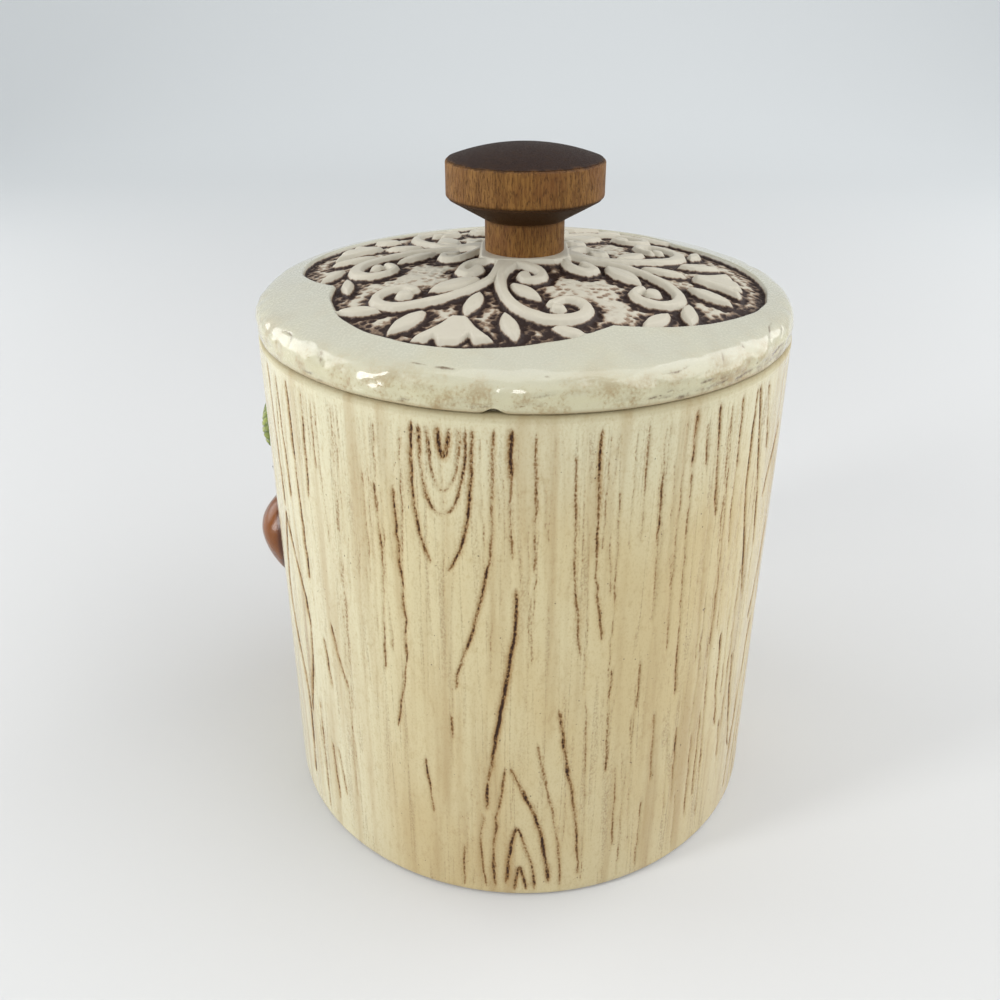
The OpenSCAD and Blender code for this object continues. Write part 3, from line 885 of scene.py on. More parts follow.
RUNS = (
    GrainLine(((-153.8, 127.6), (-152.5, 112.0), (-151.2, 97.4), (-150.8, 90.7)), 0.88, 0.75),
    GrainLine(((-148.0, 127.3), (-147.2, 112.5), (-146.3, 95.0)), 0.92),
    GrainLine(((-142.8, 127.6), (-142.2, 109.0), (-141.4, 89.0), (-141.0, 75.6)), 1.0, 0.65),
    GrainLine(((-137.0, 127.6), (-137.2, 112.5), (-137.4, 99.0)), 0.75),
    GrainLine(((-133.0, 122.6), (-131.5, 90.7)), 0.45),
    GrainLine(((-133.8, 69.0), (-132.0, 60.5), (-129.0, 50.4)), 0.78),
    GrainLine(((-136.8, 63.0), (-136.0, 53.7), (-135.2, 47.0)), 0.88),
    GrainLine(((-141.7, 40.3), (-141.6, 23.5), (-141.4, 2.5)), 0.74),
    GrainLine(((-137.8, 30.2), (-136.2, 10.0)), 0.72),
    GrainLine(((-135.3, 30.2), (-133.2, 13.4)), 0.75),
    GrainLine(((-128.2, 127.3), (-128.0, 100.0), (-128.4, 45.0)), 0.4, 1.4),
    GrainLine(((-121.0, 114.0), (-120.5, 84.0)), 0.52),
    GrainLine(((-118.5, 112.5), (-117.5, 92.4), (-118.5, 62.0)), 0.66),
    GrainLine(((-114.5, 112.0), (-114.0, 102.4), (-113.0, 75.6), (-113.8, 63.8), (-116.0, 47.0)), 0.84),
    GrainLine((
        (-95.2, 127.6), (-95.5, 109.0), (-96.0, 97.4), (-98.0, 85.7), (-100.0, 75.6),
        (-102.0, 68.9), (-103.0, 62.0),
    ), 0.92, 0.62),
    GrainLine(((-92.2, 127.6), (-92.2, 109.0), (-91.8, 97.0)), 0.8),
    GrainLine(((-92.2, 127.6), (-92.2, 115.5)), 1.1, 0.85),
    GrainLine((
        (-91.0, 91.0), (-91.2, 82.3), (-92.5, 68.9), (-94.0, 57.1), (-95.5, 45.3),
        (-96.5, 37.0), (-97.0, 27.0),
    ), 1.12, 0.7),
    GrainLine(((-97.5, 27.0), (-98.2, 15.0), (-97.0, 1.7)), 0.74),
    GrainLine(((-101.7, 16.8), (-102.0, 1.0)), 0.72),
    GrainLine(((-110.0, 42.0), (-108.5, 23.5)), 0.74),
    GrainLine(((-104.0, 57.0), (-103.8, 47.0)), 0.55),
    GrainLine(((-88.0, 127.3), (-87.8, 94.0)), 0.62),
    GrainLine(((-88.4, 90.0), (-88.0, 70.0)), 0.42),
    GrainLine(((-81.0, 122.6), (-80.0, 89.0), (-78.5, 72.0)), 0.68),
    GrainLine(((-76.5, 127.6), (-76.4, 97.4), (-75.5, 85.7), (-74.5, 75.6)), 0.84),
    GrainLine(((-72.6, 114.0), (-72.4, 84.0)), 0.45),
    GrainLine(((-72.2, 68.9), (-72.2, 37.0)), 0.64),
    GrainLine(((-70.0, 40.0), (-69.5, 12.0)), 0.55),
    GrainLine(((-67.5, 127.3), (-68.0, 97.4)), 0.52),
    GrainLine(((-66.0, 69.0), (-66.0, 53.7)), 0.52),
    GrainLine(((-64.2, 121.0), (-64.0, 77.3)), 0.68),
    GrainLine(((-63.0, 26.0), (-63.5, 3.0)), 0.5),
    GrainLine(((-61.5, 52.0), (-61.0, 30.0)), 0.62),
    GrainLine(((-60.5, 94.0), (-60.0, 80.0)), 0.42),
    GrainLine(((-57.5, 127.6), (-57.6, 114.0)), 0.98, 0.75),
    GrainLine(((-57.5, 114.0), (-57.5, 94.0), (-56.5, 53.7)), 0.74),
    GrainLine(((-55.0, 45.0), (-54.5, 20.0)), 0.58),
    GrainLine(((-51.5, 127.6), (-51.0, 112.5), (-50.0, 99.0)), 0.88),
    GrainLine(((-50.0, 40.0), (-49.5, 10.0)), 0.55),
    GrainLine(((-48.5, 122.6), (-47.8, 90.0)), 0.64),
    GrainLine(((-46.0, 30.0), (-45.0, 6.0)), 0.5),
    GrainLine(((-45.0, 127.6), (-44.5, 109.0)), 0.78),
    GrainLine(((-43.2, 65.5), (-42.5, 48.7), (-41.0, 35.3)), 1.0, 0.65),
    GrainLine(((-40.0, 127.6), (-39.5, 104.0), (-37.5, 87.0), (-35.8, 72.0)), 0.95),
    GrainLine(((-39.5, 37.0), (-38.2, 21.8)), 0.72),
    GrainLine(((-38.8, 127.6), (-36.0, 110.8), (-33.8, 95.7), (-32.2, 83.0)), 0.95),
    GrainLine(((-36.6, 56.0), (-35.6, 44.0), (-33.4, 27.0), (-31.4, 20.0)), 0.8),
    GrainLine((
        (-48.3, 127.0), (-47.4, 105.0), (-46.8, 80.0), (-47.0, 60.0), (-46.4, 44.0), (-45.6, 24.0),
    ), 0.6, 0.5),
    GrainLine(((-44.7, 112.0), (-44.4, 88.0)), 0.52),
    GrainLine(((-45.2, 82.0), (-45.0, 66.0)), 0.46),
    GrainLine(((-41.6, 96.0), (-41.2, 79.0)), 0.45),
    GrainLine(((-61.2, 95.0), (-60.3, 84.0), (-59.8, 68.0)), 0.48, 0.45),
    GrainLine(((-52.2, 92.0), (-51.5, 60.0)), 0.42, 0.45),
    GrainLine(((-47.8, 46.0), (-47.4, 16.0)), 0.5),
    GrainLine(((-54.6, 124.0), (-54.0, 112.0)), 0.62, 0.65),
    GrainLine(((-34.8, 127.0), (-33.4, 119.0), (-31.6, 108.0)), 0.66, 0.9),
    GrainLine(((-22.5, 112.5), (-30.5, 95.0)), 0.82, 0.95),
    GrainLine(((-22.5, 85.7), (-26.0, 69.0), (-28.5, 59.0)), 0.95, 0.95),
)
# Cuts and scratches round the lid's side: degrees round the photographed side, millimetres up from its edge
SIDE_CUTS = (
    GrainLine(((-152.0, 7.4), (-150.4, 8.0)), 0.8, 0.3),
    GrainLine(((-146.4, 7.6), (-141.6, 7.8), (-139.6, 4.6)), 0.9, 0.32),
    GrainLine(((-145.4, 4.2), (-143.8, 3.2)), 0.6, 0.3),
    GrainLine(((-131.6, 9.0), (-130.4, 6.4), (-128.2, 3.8)), 0.55, 1.1),
    GrainLine(((-120.4, 10.2), (-119.8, 9.8)), 1.1, 0.55),
    GrainLine(((-113.0, 10.0), (-109.5, 9.9), (-106.9, 9.7)), 0.7, 0.3),
    GrainLine(((-106.9, 9.7), (-104.0, 9.6), (-101.6, 9.5)), 1.1, 0.42),
    GrainLine(((-88.0, 8.4), (-84.5, 8.2)), 0.6, 0.4),
    GrainLine(((-66.0, 6.6), (-62.0, 6.6), (-58.0, 7.8)), 0.6, 0.28),
    GrainLine(((-50.0, 9.6), (-51.0, 7.4), (-52.4, 5.2)), 0.75, 0.45),
    GrainLine(((-43.4, 9.4), (-44.0, 7.8), (-44.8, 6.2)), 0.8, 0.36),
    GrainLine(((-28.0, 9.6), (-32.0, 8.6), (-34.8, 6.6), (-35.0, 5.0)), 0.8, 0.34),
    GrainLine(((-27.0, 9.0), (-28.6, 6.6), (-30.6, 4.8)), 0.7, 0.32),
)


@dataclass
class Pot:
    """The straight-walled pot with its carved grain."""

    radius: float = 65.0
    height: float = 130.0
    wall: float = 5.5
    floor: float = 6.5
    base_round: float = 1.5
    rim_round: float = 1.2
    chamber_round: float = 6.0
    brush: float = 0.74
    columns: int = 1600
    wall_rows: int = 236
    groove_depth: float = 0.3
    halo_depth: float = 0.1
    sway_depth: float = 0.12
    flute_depth: float = 0.07
    plain_top: float = 128.4
    rim_rows: int = 9
    foot_rows: int = 3
    arch_middle: float = -104.5
    flame_middle: float = -90.0
    lens_middle: float = -150.0
    seed: int = 11
    finish: PotGlaze = field(default_factory=PotGlaze)

    def _rest_of_wall(self, grain: GrainField) -> None:
        """Carve the side that the photograph doesn't show, and the fine runs all round.

        Args:
            grain: The field to paint.
        """
        rng = np.random.default_rng(self.seed)
        for turn, mirrored in ((96.0, True), (196.0, False), (251.0, True)):
            for line in ARCH:
                grain.draw(line.turned(PHOTO_TURN + turn, mirrored, self.arch_middle))
        for turn, mirrored in ((72.0, True), (128.0, False), (214.0, True)):
            for line in FLAME:
                grain.draw(line.turned(PHOTO_TURN + turn, mirrored, self.flame_middle))
        for line in LENS:
            grain.draw(line.turned(PHOTO_TURN - 68.0, True, self.lens_middle))
        hidden = np.arange(-18.0, 190.0, 2.9)
        for place in hidden + rng.uniform(-1.0, 1.0, len(hidden)):
            top = rng.choice([125.5, rng.uniform(40.0, 120.0)], p=[0.55, 0.45])
            low = max(1.5, top - rng.uniform(18.0, 70.0))
            sway = rng.uniform(-0.9, 0.9, 3)
            route = tuple((place + s, z) for s, z in zip(sway, np.linspace(top, low, 3)))
            grain.draw(GrainLine(route, rng.uniform(0.4, 0.95)).turned(PHOTO_TURN))
        for place in np.arange(0.0, 360.0, 1.3):
            top = 126.5 if rng.random() < 0.45 else rng.uniform(20.0, 120.0)
            low = max(1.0, top - rng.uniform(14.0, 62.0))
            sway = rng.uniform(-0.7, 0.7, 3)
            route = tuple((place + s, z) for s, z in zip(sway, np.linspace(top, low, 3)))
            grain.draw(GrainLine(route, rng.uniform(0.2, 0.52), rng.uniform(0.36, 0.5)))

    def _grain(self, heights: np.ndarray) -> GrainField:
        """Return the carved grain over the outer wall.

        Args:
            heights: The heights of the wall's rows.

        Returns:
            The painted field.
        """
        grain = GrainField(heights, self.columns, self.radius, brush=self.brush)
        # The boldest strokes are gone over twice
        for line in ARCH + FLAME + LENS + RUNS + ARCH + FLAME + LENS:
            grain.draw(line.turned(PHOTO_TURN))
        self._rest_of_wall(grain)
        return grain

    def _outline(self) -> Tuple[List[Tuple[float, float]], int, int]:
        """Return the half outline from the base's middle round to the floor's middle.

        Returns:
            The points, and the first and one past the last row of the outer wall.
        """
        r, h, mouth = self.radius, self.height, self.radius - self.wall
        b, e, c = self.base_round, self.rim_round, self.chamber_round
        base = [(x, 0.0) for x in (1.0, 12.0, 26.0, 40.0, 52.0, 59.0)]
        base += arc_points(r - b, b, b, -90.0, 0.0, 6)
        wall = [(r, z) for z in np.linspace(b, h - e, self.wall_rows + 2)[1:-1]]
        rim = arc_points(r - e, h - e, e, 0.0, 90.0, 6)
        rim += straight((r - e, h), (mouth + e, h), 5)
        rim += arc_points(mouth + e, h - e, e, 90.0, 180.0, 5)
        low = self.floor + c
        lining = straight((mouth, h - e), (mouth, low), 26)
        lining += arc_points(mouth - c, low, c, 0.0, -90.0, 8)
        lining += [(x, self.floor) for x in (46.0, 36.0, 25.0, 13.0, 1.0)]
        return base + wall + rim + lining, len(base), len(base) + len(wall)

    def build(self) -> None:
        """Make the pot."""
        outline, first, last = self._outline()
        profile = np.array(outline)
        grain = self._grain(profile[first:last, 1])
        turns = np.arange(self.columns) * 2 * math.pi / self.columns
        radius = np.repeat(profile[:, :1], self.columns, 1)
        height = np.repeat(profile[:, 1:], self.columns, 1)
        round_mm = turns[None, :] * self.radius
        wall_z = profile[first:last, 1:2]
        fade = smooth(0.0, 2.0, wall_z) * smooth(0.0, 2.0, self.plain_top - wall_z)
        cell = 2 * math.pi * self.radius / NOISE_CELLS
        sway = self.sway_depth * soft_noise(round_mm, wall_z * 0.25, cell, 21)
        sway = sway + self.flute_depth * soft_noise(round_mm, wall_z * 0.1, cell / 2, 27)
        radius[first:last] += fade * (sway - self.groove_depth * grain.grain - self.halo_depth * grain.halo)
        points = np.stack([radius * np.cos(turns), radius * np.sin(turns), height], -1).reshape(-1, 3)
        rows = len(profile)
        ends = np.array([[0.0, 0.0, 0.0], [0.0, 0.0, self.floor]])
        under = fan(len(points), 0, self.columns, True)
        over = fan(len(points) + 1, (rows - 1) * self.columns, self.columns, False)
        painted = {name: np.zeros((rows, self.columns)) for name in ("grain", "halo", "inside", "bare")}
        painted["grain"][first:last] = grain.grain
        painted["halo"][first:last] = grain.halo
        painted["inside"][last + self.rim_rows:] = 1.0
        painted["bare"][:first - self.foot_rows] = 1.0
        marks = {name: np.append(values.ravel(), [0.0, 0.0]) for name, values in painted.items()}
        marks["inside"][-1] = 1.0
        marks["bare"][-2] = 1.0
        piece = make_piece(
            "pot_carved", np.vstack([points, ends]),
            grid_quads(rows, self.columns, False, True), np.vstack([under, over]), marks,
        )
        dress(piece, self.finish.material())
        settle(piece, Body.POT, "pot_glaze", "pot")


@dataclass(frozen=True)
class Vine:
    """A carved scroll: (along, across, half width) at knots in a spray's own frame."""

    knots: Tuple[Tuple[float, float, float], ...]
    reach: float = 4.5

    def mirrored(self) -> "Vine":
        """Return the scroll on the other side of its spray."""
        return Vine(tuple((x, -y, half) for x, y, half in self.knots), self.reach)

    def relief(self, x: np.ndarray, y: np.ndarray) -> Tuple[np.ndarray, np.ndarray]:
        """Shape the scroll.

        Args:
            x: The first coordinates in the spray's frame.
            y: The second coordinates in the spray's frame.

        Returns:
            The distance outside the scroll, and the height of its round back from 0 to 1.
        """
        route = curve_through(np.array(self.knots), 1.2)
        low, high = route[:, :2].min(0) - self.reach, route[:, :2].max(0) + self.reach
        near = (x > low[0]) & (x < high[0]) & (y > low[1]) & (y < high[1])
        px, py = x[near], y[near]
        gap, back = np.full(x.shape, 99.0), np.zeros(x.shape)
        least, most = np.full(px.shape, 99.0), np.zeros(px.shape)
        for (x0, y0, w0), (x1, y1, w1) in zip(route[:-1], route[1:]):
            dx, dy = x1 - x0, y1 - y0
            t = np.clip(((px - x0) * dx + (py - y0) * dy) / (dx * dx + dy * dy), 0.0, 1.0)
            off = np.hypot(px - x0 - t * dx, py - y0 - t * dy)
            half = w0 + t * (w1 - w0)
            least = np.minimum(least, off - half)
            most = np.maximum(most, rounded(off, half))
        gap[near], back[near] = least, most
        return gap, back


@dataclass(frozen=True)
class Eye:
    """The round end of a scroll."""

    x: float
    y: float
    r: float

    def relief(self, x: np.ndarray, y: np.ndarray) -> Tuple[np.ndarray, np.ndarray]:
        """Shape the eye.

        Args:
            x: The first coordinates in the spray's frame.
            y: The second coordinates in the spray's frame.

        Returns:
            The distance outside the eye, and the height of its round back from 0 to 1.
        """
        off = np.hypot(x - self.x, y - self.y)
        return off - self.r, rounded(off, self.r)


@dataclass(frozen=True)
class SprayLeaf:
    """A pointed leaf of the carved sprays."""

    x: float
    y: float
    turn: float
    length: float
    width: float

    def relief(self, x: np.ndarray, y: np.ndarray) -> Tuple[np.ndarray, np.ndarray]:
        """Shape the leaf.

        Args:
            x: The first coordinates in the spray's frame.
            y: The second coordinates in the spray's frame.

        Returns:
            The distance outside the leaf, and the height of its round back from 0 to 1.
        """
        u, v = turned_into(x - self.x, y - self.y, self.turn)
        r = (self.length ** 2 + self.width ** 2) / (4 * self.width)
        side = r - self.width / 2
        inset = np.minimum(r - np.hypot(u, v - side), r - np.hypot(u, v + side))
        across = np.clip(inset / (self.width / 2), 0.0, 1.0)
        back = carved(inset) * (0.84 + 0.16 * across)
        crease = 0.07 * np.exp(-(v / 0.4) ** 2) * across
        return -inset, np.clip(back - crease, 0.0, 1.0)


@dataclass(frozen=True)
class Bell:
    """A cup-shaped flower with a notched hem that points away from the knob."""

    x: float
    y: float
    turn: float
    length: float
    half_width: float

    def relief(self, x: np.ndarray, y: np.ndarray) -> Tuple[np.ndarray, np.ndarray]:
        """Shape the flower.

        Args:
            x: The first coordinates in the spray's frame.
            y: The second coordinates in the spray's frame.

        Returns:
            The distance outside the flower, and the height of its round back from 0 to 1.
        """
        u, v = turned_into(x - self.x, y - self.y, self.turn)
        reach = np.clip(u / self.length, 0.0, 1.0)
        cup = np.sqrt(1.0 - (1.0 - np.clip(reach / 0.85, 0.0, 1.0)) ** 2)
        half = self.half_width * (0.52 * cup + 0.48 * smooth(0.3, 1.05, reach))
        notches = 2.8 * np.exp(-((v - 3.2) / 1.1) ** 2) + 2.2 * np.exp(-((v + 4.0) / 1.0) ** 2)
        hem = self.length - notches - 0.028 * v ** 2
        gap = np.maximum(np.maximum(np.abs(v) - half, u - hem), -u)
        crease = 0.12 * reach * np.exp(-((np.abs(v) - 4.4 * reach) / 0.6) ** 2)
        return gap, np.clip(carved(-gap, 2.0) - crease, 0.0, 1.0)


SprayShape = Union[Vine, Eye, SprayLeaf, Bell]


@dataclass
class Lid:
    """The domed lid with its carved panel."""

    radius: float = 65.0
    seat: float = 130.0
    rise: float = 15.1
    dome: float = 256.0
    shoulder: float = 6.8
    edge_round: float = 0.8
    thickness: float = 6.0
    ring: float = 58.5
    ring_wall: float = 4.5
    ring_depth: float = 9.0
    ring_round: float = 1.0
    boss_rise: float = 1.0
    seat_r: float = 9.0
    seat_half: float = 10.3
    seat_corner: float = 12.4
    seat_turn: float = 50.0
    shoulder_swell: float = 0.55
    pad: float = 9.5
    pad_drop: float = 1.5
    screw_hole: float = 2.6
    panel_depth: float = 1.8
    lobe_turns: Tuple[float, ...] = (25.0, 130.0, 212.0, 297.5)
    lobe_outs: Tuple[float, ...] = (18.1, 19.4, 20.0, 26.0)
    lobe_rs: Tuple[float, ...] = (37.0, 39.4, 36.5, 32.4)
    spray_turns: Tuple[float, ...] = (30.0, 127.0, 211.0, 295.0)
    stain_turn: float = 60.0
    loose_leaves: Tuple[SprayLeaf, ...] = (
        SprayLeaf(2.8, 46.7, 10.0, 11.4, 4.8),
        SprayLeaf(41.3, -14.8, 60.0, 12.0, 3.8),
    )
    wave_depth: float = 0.28
    cut_depth: float = 0.3
    chip_turn: float = -95.2
    chip_width: float = 1.5
    chip_rise: float = 1.3
    brush: float = 1.5
    scratches: int = 150
    scuffs: Tuple[Tuple[float, int], ...] = ((-74.0, 150), (95.0, 110))
    scuff_spread: float = 58.0
    columns: int = 1100
    panel_rows: int = 250
    seed: int = 23
    finish: LidGlaze = field(default_factory=LidGlaze)

    def _dome_height(self, r: np.ndarray, depth: float = 0.0) -> np.ndarray:
        """Return the height of the dome, or of a surface at a depth below it, at a radius."""
        return self.seat + self.rise - self.dome + np.sqrt((self.dome - depth) ** 2 - r ** 2)

    def _spray(self) -> List[SprayShape]:
        """Lay out one spray along +X.

        Returns:
            Its scrolls, eyes, leaves and flower.
        """
        near = Vine((
            (8.5, 0.8, 3.4), (12.5, 0.4, 2.5), (16.8, 0.5, 1.9), (21.9, 2.2, 1.75), (27.3, 5.2, 1.75),
            (31.9, 8.9, 1.9), (35.2, 13.8, 2.15), (36.0, 19.2, 2.35), (33.0, 23.7, 2.2), (28.4, 24.6, 1.9),
            (25.2, 22.0, 1.7), (25.8, 18.4, 1.6), (28.8, 16.8, 1.7),
        ))
        far = Vine((
            (8.5, -0.8, 3.2), (13.0, -0.9, 2.3), (17.5, -1.0, 1.8), (21.5, -1.2, 1.65), (25.6, -2.2, 1.65),
            (29.8, -4.3, 1.7), (33.8, -7.3, 1.8), (37.2, -11.2, 1.9), (39.2, -15.6, 2.0), (38.4, -20.0, 2.0),
            (35.0, -22.4, 1.9), (31.0, -21.4, 1.8), (29.2, -18.2, 1.7), (30.4, -15.2, 1.8),
        ))
        root = Vine((
            (10.6, 1.5, 1.8), (11.2, 5.4, 1.8), (13.2, 9.0, 1.8), (16.8, 9.6, 1.9),
            (18.4, 7.2, 1.9), (16.2, 5.8, 2.2),
        ))
        return [
            near, far, root, root.mirrored(),
            Eye(30.6, 18.8, 2.2),
            Eye(33.2, -16.4, 2.5),
            SprayLeaf(24.8, 9.3, 57.0, 12.6, 4.8),
            SprayLeaf(33.8, 0.5, 5.0, 12.8, 4.6),
            SprayLeaf(25.2, -7.6, -41.0, 14.0, 6.4),
            SprayLeaf(45.5, -9.8, -20.0, 12.6, 5.6),
            SprayLeaf(41.6, 11.9, 33.0, 13.6, 4.6),
            SprayLeaf(39.6, 24.6, 81.0, 10.4, 4.2),
            SprayLeaf(42.0, -23.4, -82.0, 11.8, 4.6),
            Bell(40.2, 0.2, 13.0, 13.0, 10.6),
        ]

    def _panel_inset(self, x: np.ndarray, y: np.ndarray) -> np.ndarray:
        """Measure from the panel's lobed edge.

        Args:
            x: The points' first coordinates.
            y: The points' second coordinates.

        Returns:
            How far inside the edge each point lies.
        """
        inset = np.full(x.shape, -99.0)
        for turn, out, r in zip(self.lobe_turns, self.lobe_outs, self.lobe_rs):
            a = math.radians(turn)
            inset = np.maximum(inset, r - np.hypot(x - out * math.cos(a), y - out * math.sin(a)))
        return inset + 0.25 * soft_noise(x, y, 6.0, 31)

    def _carving(self, x: np.ndarray, y: np.ndarray) -> Tuple[np.ndarray, np.ndarray, np.ndarray]:
        """Carve the panel.

        Args:
            x: The points' first coordinates.
            y: The points' second coordinates.

        Returns:
            The height against the dome, the stain with painted shade at the carving's feet and down the
            panel's edge, and the panel's own mask at each point.
        """
        gap = np.full(x.shape, 99.0)
        back = np.zeros(x.shape)
        shapes = self._spray()
        for turn in self.spray_turns:
            sx, sy = turned_into(x, y, turn)
            near = (sx > 4.0) & (np.abs(sy) < 40.0)
            for shape in shapes:
                shape_gap, shape_back = shape.relief(sx[near], sy[near])
                gap[near] = np.minimum(gap[near], shape_gap)
                back[near] = np.maximum(back[near], shape_back)
        for leaf in self.loose_leaves:
            leaf_gap, leaf_back = leaf.relief(x, y)
            gap, back = np.minimum(gap, leaf_gap), np.maximum(back, leaf_back)
        seat_gap = self._seat_gap(x, y)
        gap = np.minimum(gap, seat_gap)
        inset = self._panel_inset(x, y)
        sunk = smooth(0.05, 1.2, inset) * smooth(-0.2, 1.2, seat_gap)
        flow, drift = soft_noise(x, y, 7.0, 47), soft_noise(x, y, 19.0, 59)
        lean = turned_into(x, y, self.stain_turn)[0] / self.radius
        pits = 1.0 - smooth(0.22, 0.56, pit_distance(x + 0.5 * flow, y + 0.5 * drift, 2.0, 41))
        pads = soft_noise(x, y, 1.6, 43)
        shade = 1.0 - np.minimum(smooth(-0.2, 3.4, gap + 0.9 * flow), smooth(0.4, 6.5, inset + 1.6 * flow))
        rubbed = np.clip(shade * (1.0 + 0.3 * drift + 0.4 * lean), 0.0, 1.0)
        struck = pits * np.clip(0.6 + 0.4 * rubbed + 0.5 * soft_noise(x, y, 3.0, 61), 0.0, 1.0)
        shallow = 1.0 - 0.4 * (1.0 - smooth(0.0, 7.0, seat_gap))
        ground = 0.25 - self.panel_depth * shallow + 0.3 * (1.0 - rubbed) - 0.35 * struck + 0.1 * pads
        lump = 0.08 * soft_noise(x, y, 2.2, 53)
        height = sunk * (ground * (1.0 - back) + (0.1 + lump) * back)
        rise = self.seat + self.rise + self.boss_rise - self._dome_height(np.hypot(x, y))
        roots = back * np.clip(0.8 - seat_gap / 9.0, 0.0, 0.8)
        height += rise * np.maximum(1.0 - smooth(0.0, 1.2, seat_gap), roots)
        # Painted shade with stain low on the raised shapes' sides
        foot = 1.0 - smooth(0.08, 0.6, back)
        low = 0.1 + 0.1 * flow + 0.62 * rubbed + struck * (0.4 + 0.35 * rubbed) - 0.12 * pads
        # Painted shade with stain: a dark line along the foot of every raised shape
        low = np.maximum(low, 0.95 * (1.0 - smooth(0.1, 1.1, gap)))
        stain = np.where(gap < 0, foot * 0.9, np.clip(low, 0.0, 1.0))
        # Painted shade with stain down the panel's edge wall
        wall = (1.0 - smooth(0.9, 2.2, inset)) * (gap > 0)
        stain = np.maximum(stain, 0.92 * wall) * smooth(0.3, 0.85, sunk)
        return height, stain, smooth(0.2, 1.0, inset)

    def _seat_gap(self, x: np.ndarray, y: np.ndarray) -> np.ndarray:
        """Return the distance outside the squarish seat under the knob."""
        a = np.arctan2(y, x) - math.radians(self.seat_turn)
        square = self.seat_half / np.maximum(np.abs(np.cos(a)), np.abs(np.sin(a)))
        return np.hypot(x, y) - np.minimum(square, self.seat_corner)

    def _outline(self) -> Tuple[List[Tuple[float, float]], int, int, int]:
        """Return the closed half outline, from the side's lower edge up and round.

        Returns:
            The points, the first panel row, one past the last panel row and the first hidden row.
        """
        r, seat, top = self.radius, self.seat, self.seat + self.rise
        centre = top - self.dome
        sx = r - self.shoulder
        sz = centre + math.sqrt((self.dome - self.shoulder) ** 2 - sx ** 2)
        lean = math.degrees(math.atan2(sz - centre, sx))
        side = arc_points(r - self.edge_round, seat + self.edge_round, self.edge_round, -90.0, 0.0, 5)
        for t in np.radians(np.linspace(0.0, lean, 33)):
            swell = self.shoulder + self.shoulder_swell * math.sin(math.pi * t / math.radians(lean)) ** 2
            side.append((sx + swell * math.cos(t), sz + swell * math.sin(t)))
        start = self.dome * math.cos(math.radians(lean))
        panel_r = np.linspace(start, self.seat_r, self.panel_rows + 1)[1:]
        panel = [(x, float(self._dome_height(np.array(x)))) for x in panel_r]
        boss_top = top + self.boss_rise
        seat_pts = [(6.0, boss_top), (self.screw_hole, boss_top)]
        pad_z = top - self.thickness - self.pad_drop
        hidden = [(self.screw_hole, pad_z + 4.0), (self.screw_hole, pad_z)]
        hidden += [(6.0, pad_z), (self.pad - 0.3, pad_z)]
        hollow = self.ring - self.ring_wall
        for x in np.linspace(self.pad, hollow, 36):
            hidden.append((float(x), float(self._dome_height(np.array(x), self.thickness))))
        low, q = seat - self.ring_depth, self.ring_round
        hidden += straight(hidden[-1], (hollow, low + q), 9)
        hidden += arc_points(hollow + q, low + q, q, 180.0, 270.0, 4)
        hidden += arc_points(self.ring - q, low + q, q, 270.0, 360.0, 4)
        hidden += straight((self.ring, low + q), (self.ring, seat), 8)
        hidden += [(self.ring, seat), (61.0, seat), (63.0, seat)]
        first, last = len(side), len(side) + len(panel)
        return side + panel + seat_pts + hidden, first, last, last + len(seat_pts)

    def _side_marks(self, heights: np.ndarray) -> GrainField:
        """Return the scratches and carved waves round the shoulder.

        Args:
            heights: Distances along the outline from the lower edge.

        Returns:
            The painted field.
        """
        marks = GrainField(heights, self.columns, self.radius, self.seed, self.brush)
        rng = np.random.default_rng(self.seed)
        for cut in SIDE_CUTS:
            marks.draw(cut.turned(PHOTO_TURN))
            marks.draw(cut.turned(PHOTO_TURN + 165.0, True, -90.0))
        for _ in range(self.scratches):
            place = rng.uniform(0.0, 360.0)
            low = rng.uniform(0.6, 3.2) if rng.random() < 0.7 else rng.uniform(3.0, 8.5)
            run = rng.uniform(2.0, 7.5)
            rise = rng.uniform(-0.2, 0.7), rng.uniform(0.0, 1.4)
            route = ((place, low), (place + run / 2, low + rise[0]), (place + run, low + rise[1]))
            marks.draw(GrainLine(route, rng.uniform(0.25, 0.7), rng.uniform(0.25, 0.45)))
        for start, count in self.scuffs:
            for _ in range(count):
                place = start + self.scuff_spread * rng.random() ** 0.7
                low = rng.uniform(0.7, 3.6)
                run = rng.uniform(1.5, 6.0)
                end = low + rng.uniform(0.0, 0.7)
                route = ((place, low), (place + run / 2, low + 0.1), (place + run, end))
                scratch = GrainLine(route, rng.uniform(0.35, 0.95), rng.uniform(0.22, 0.34))
                marks.draw(scratch.turned(PHOTO_TURN))
        return marks

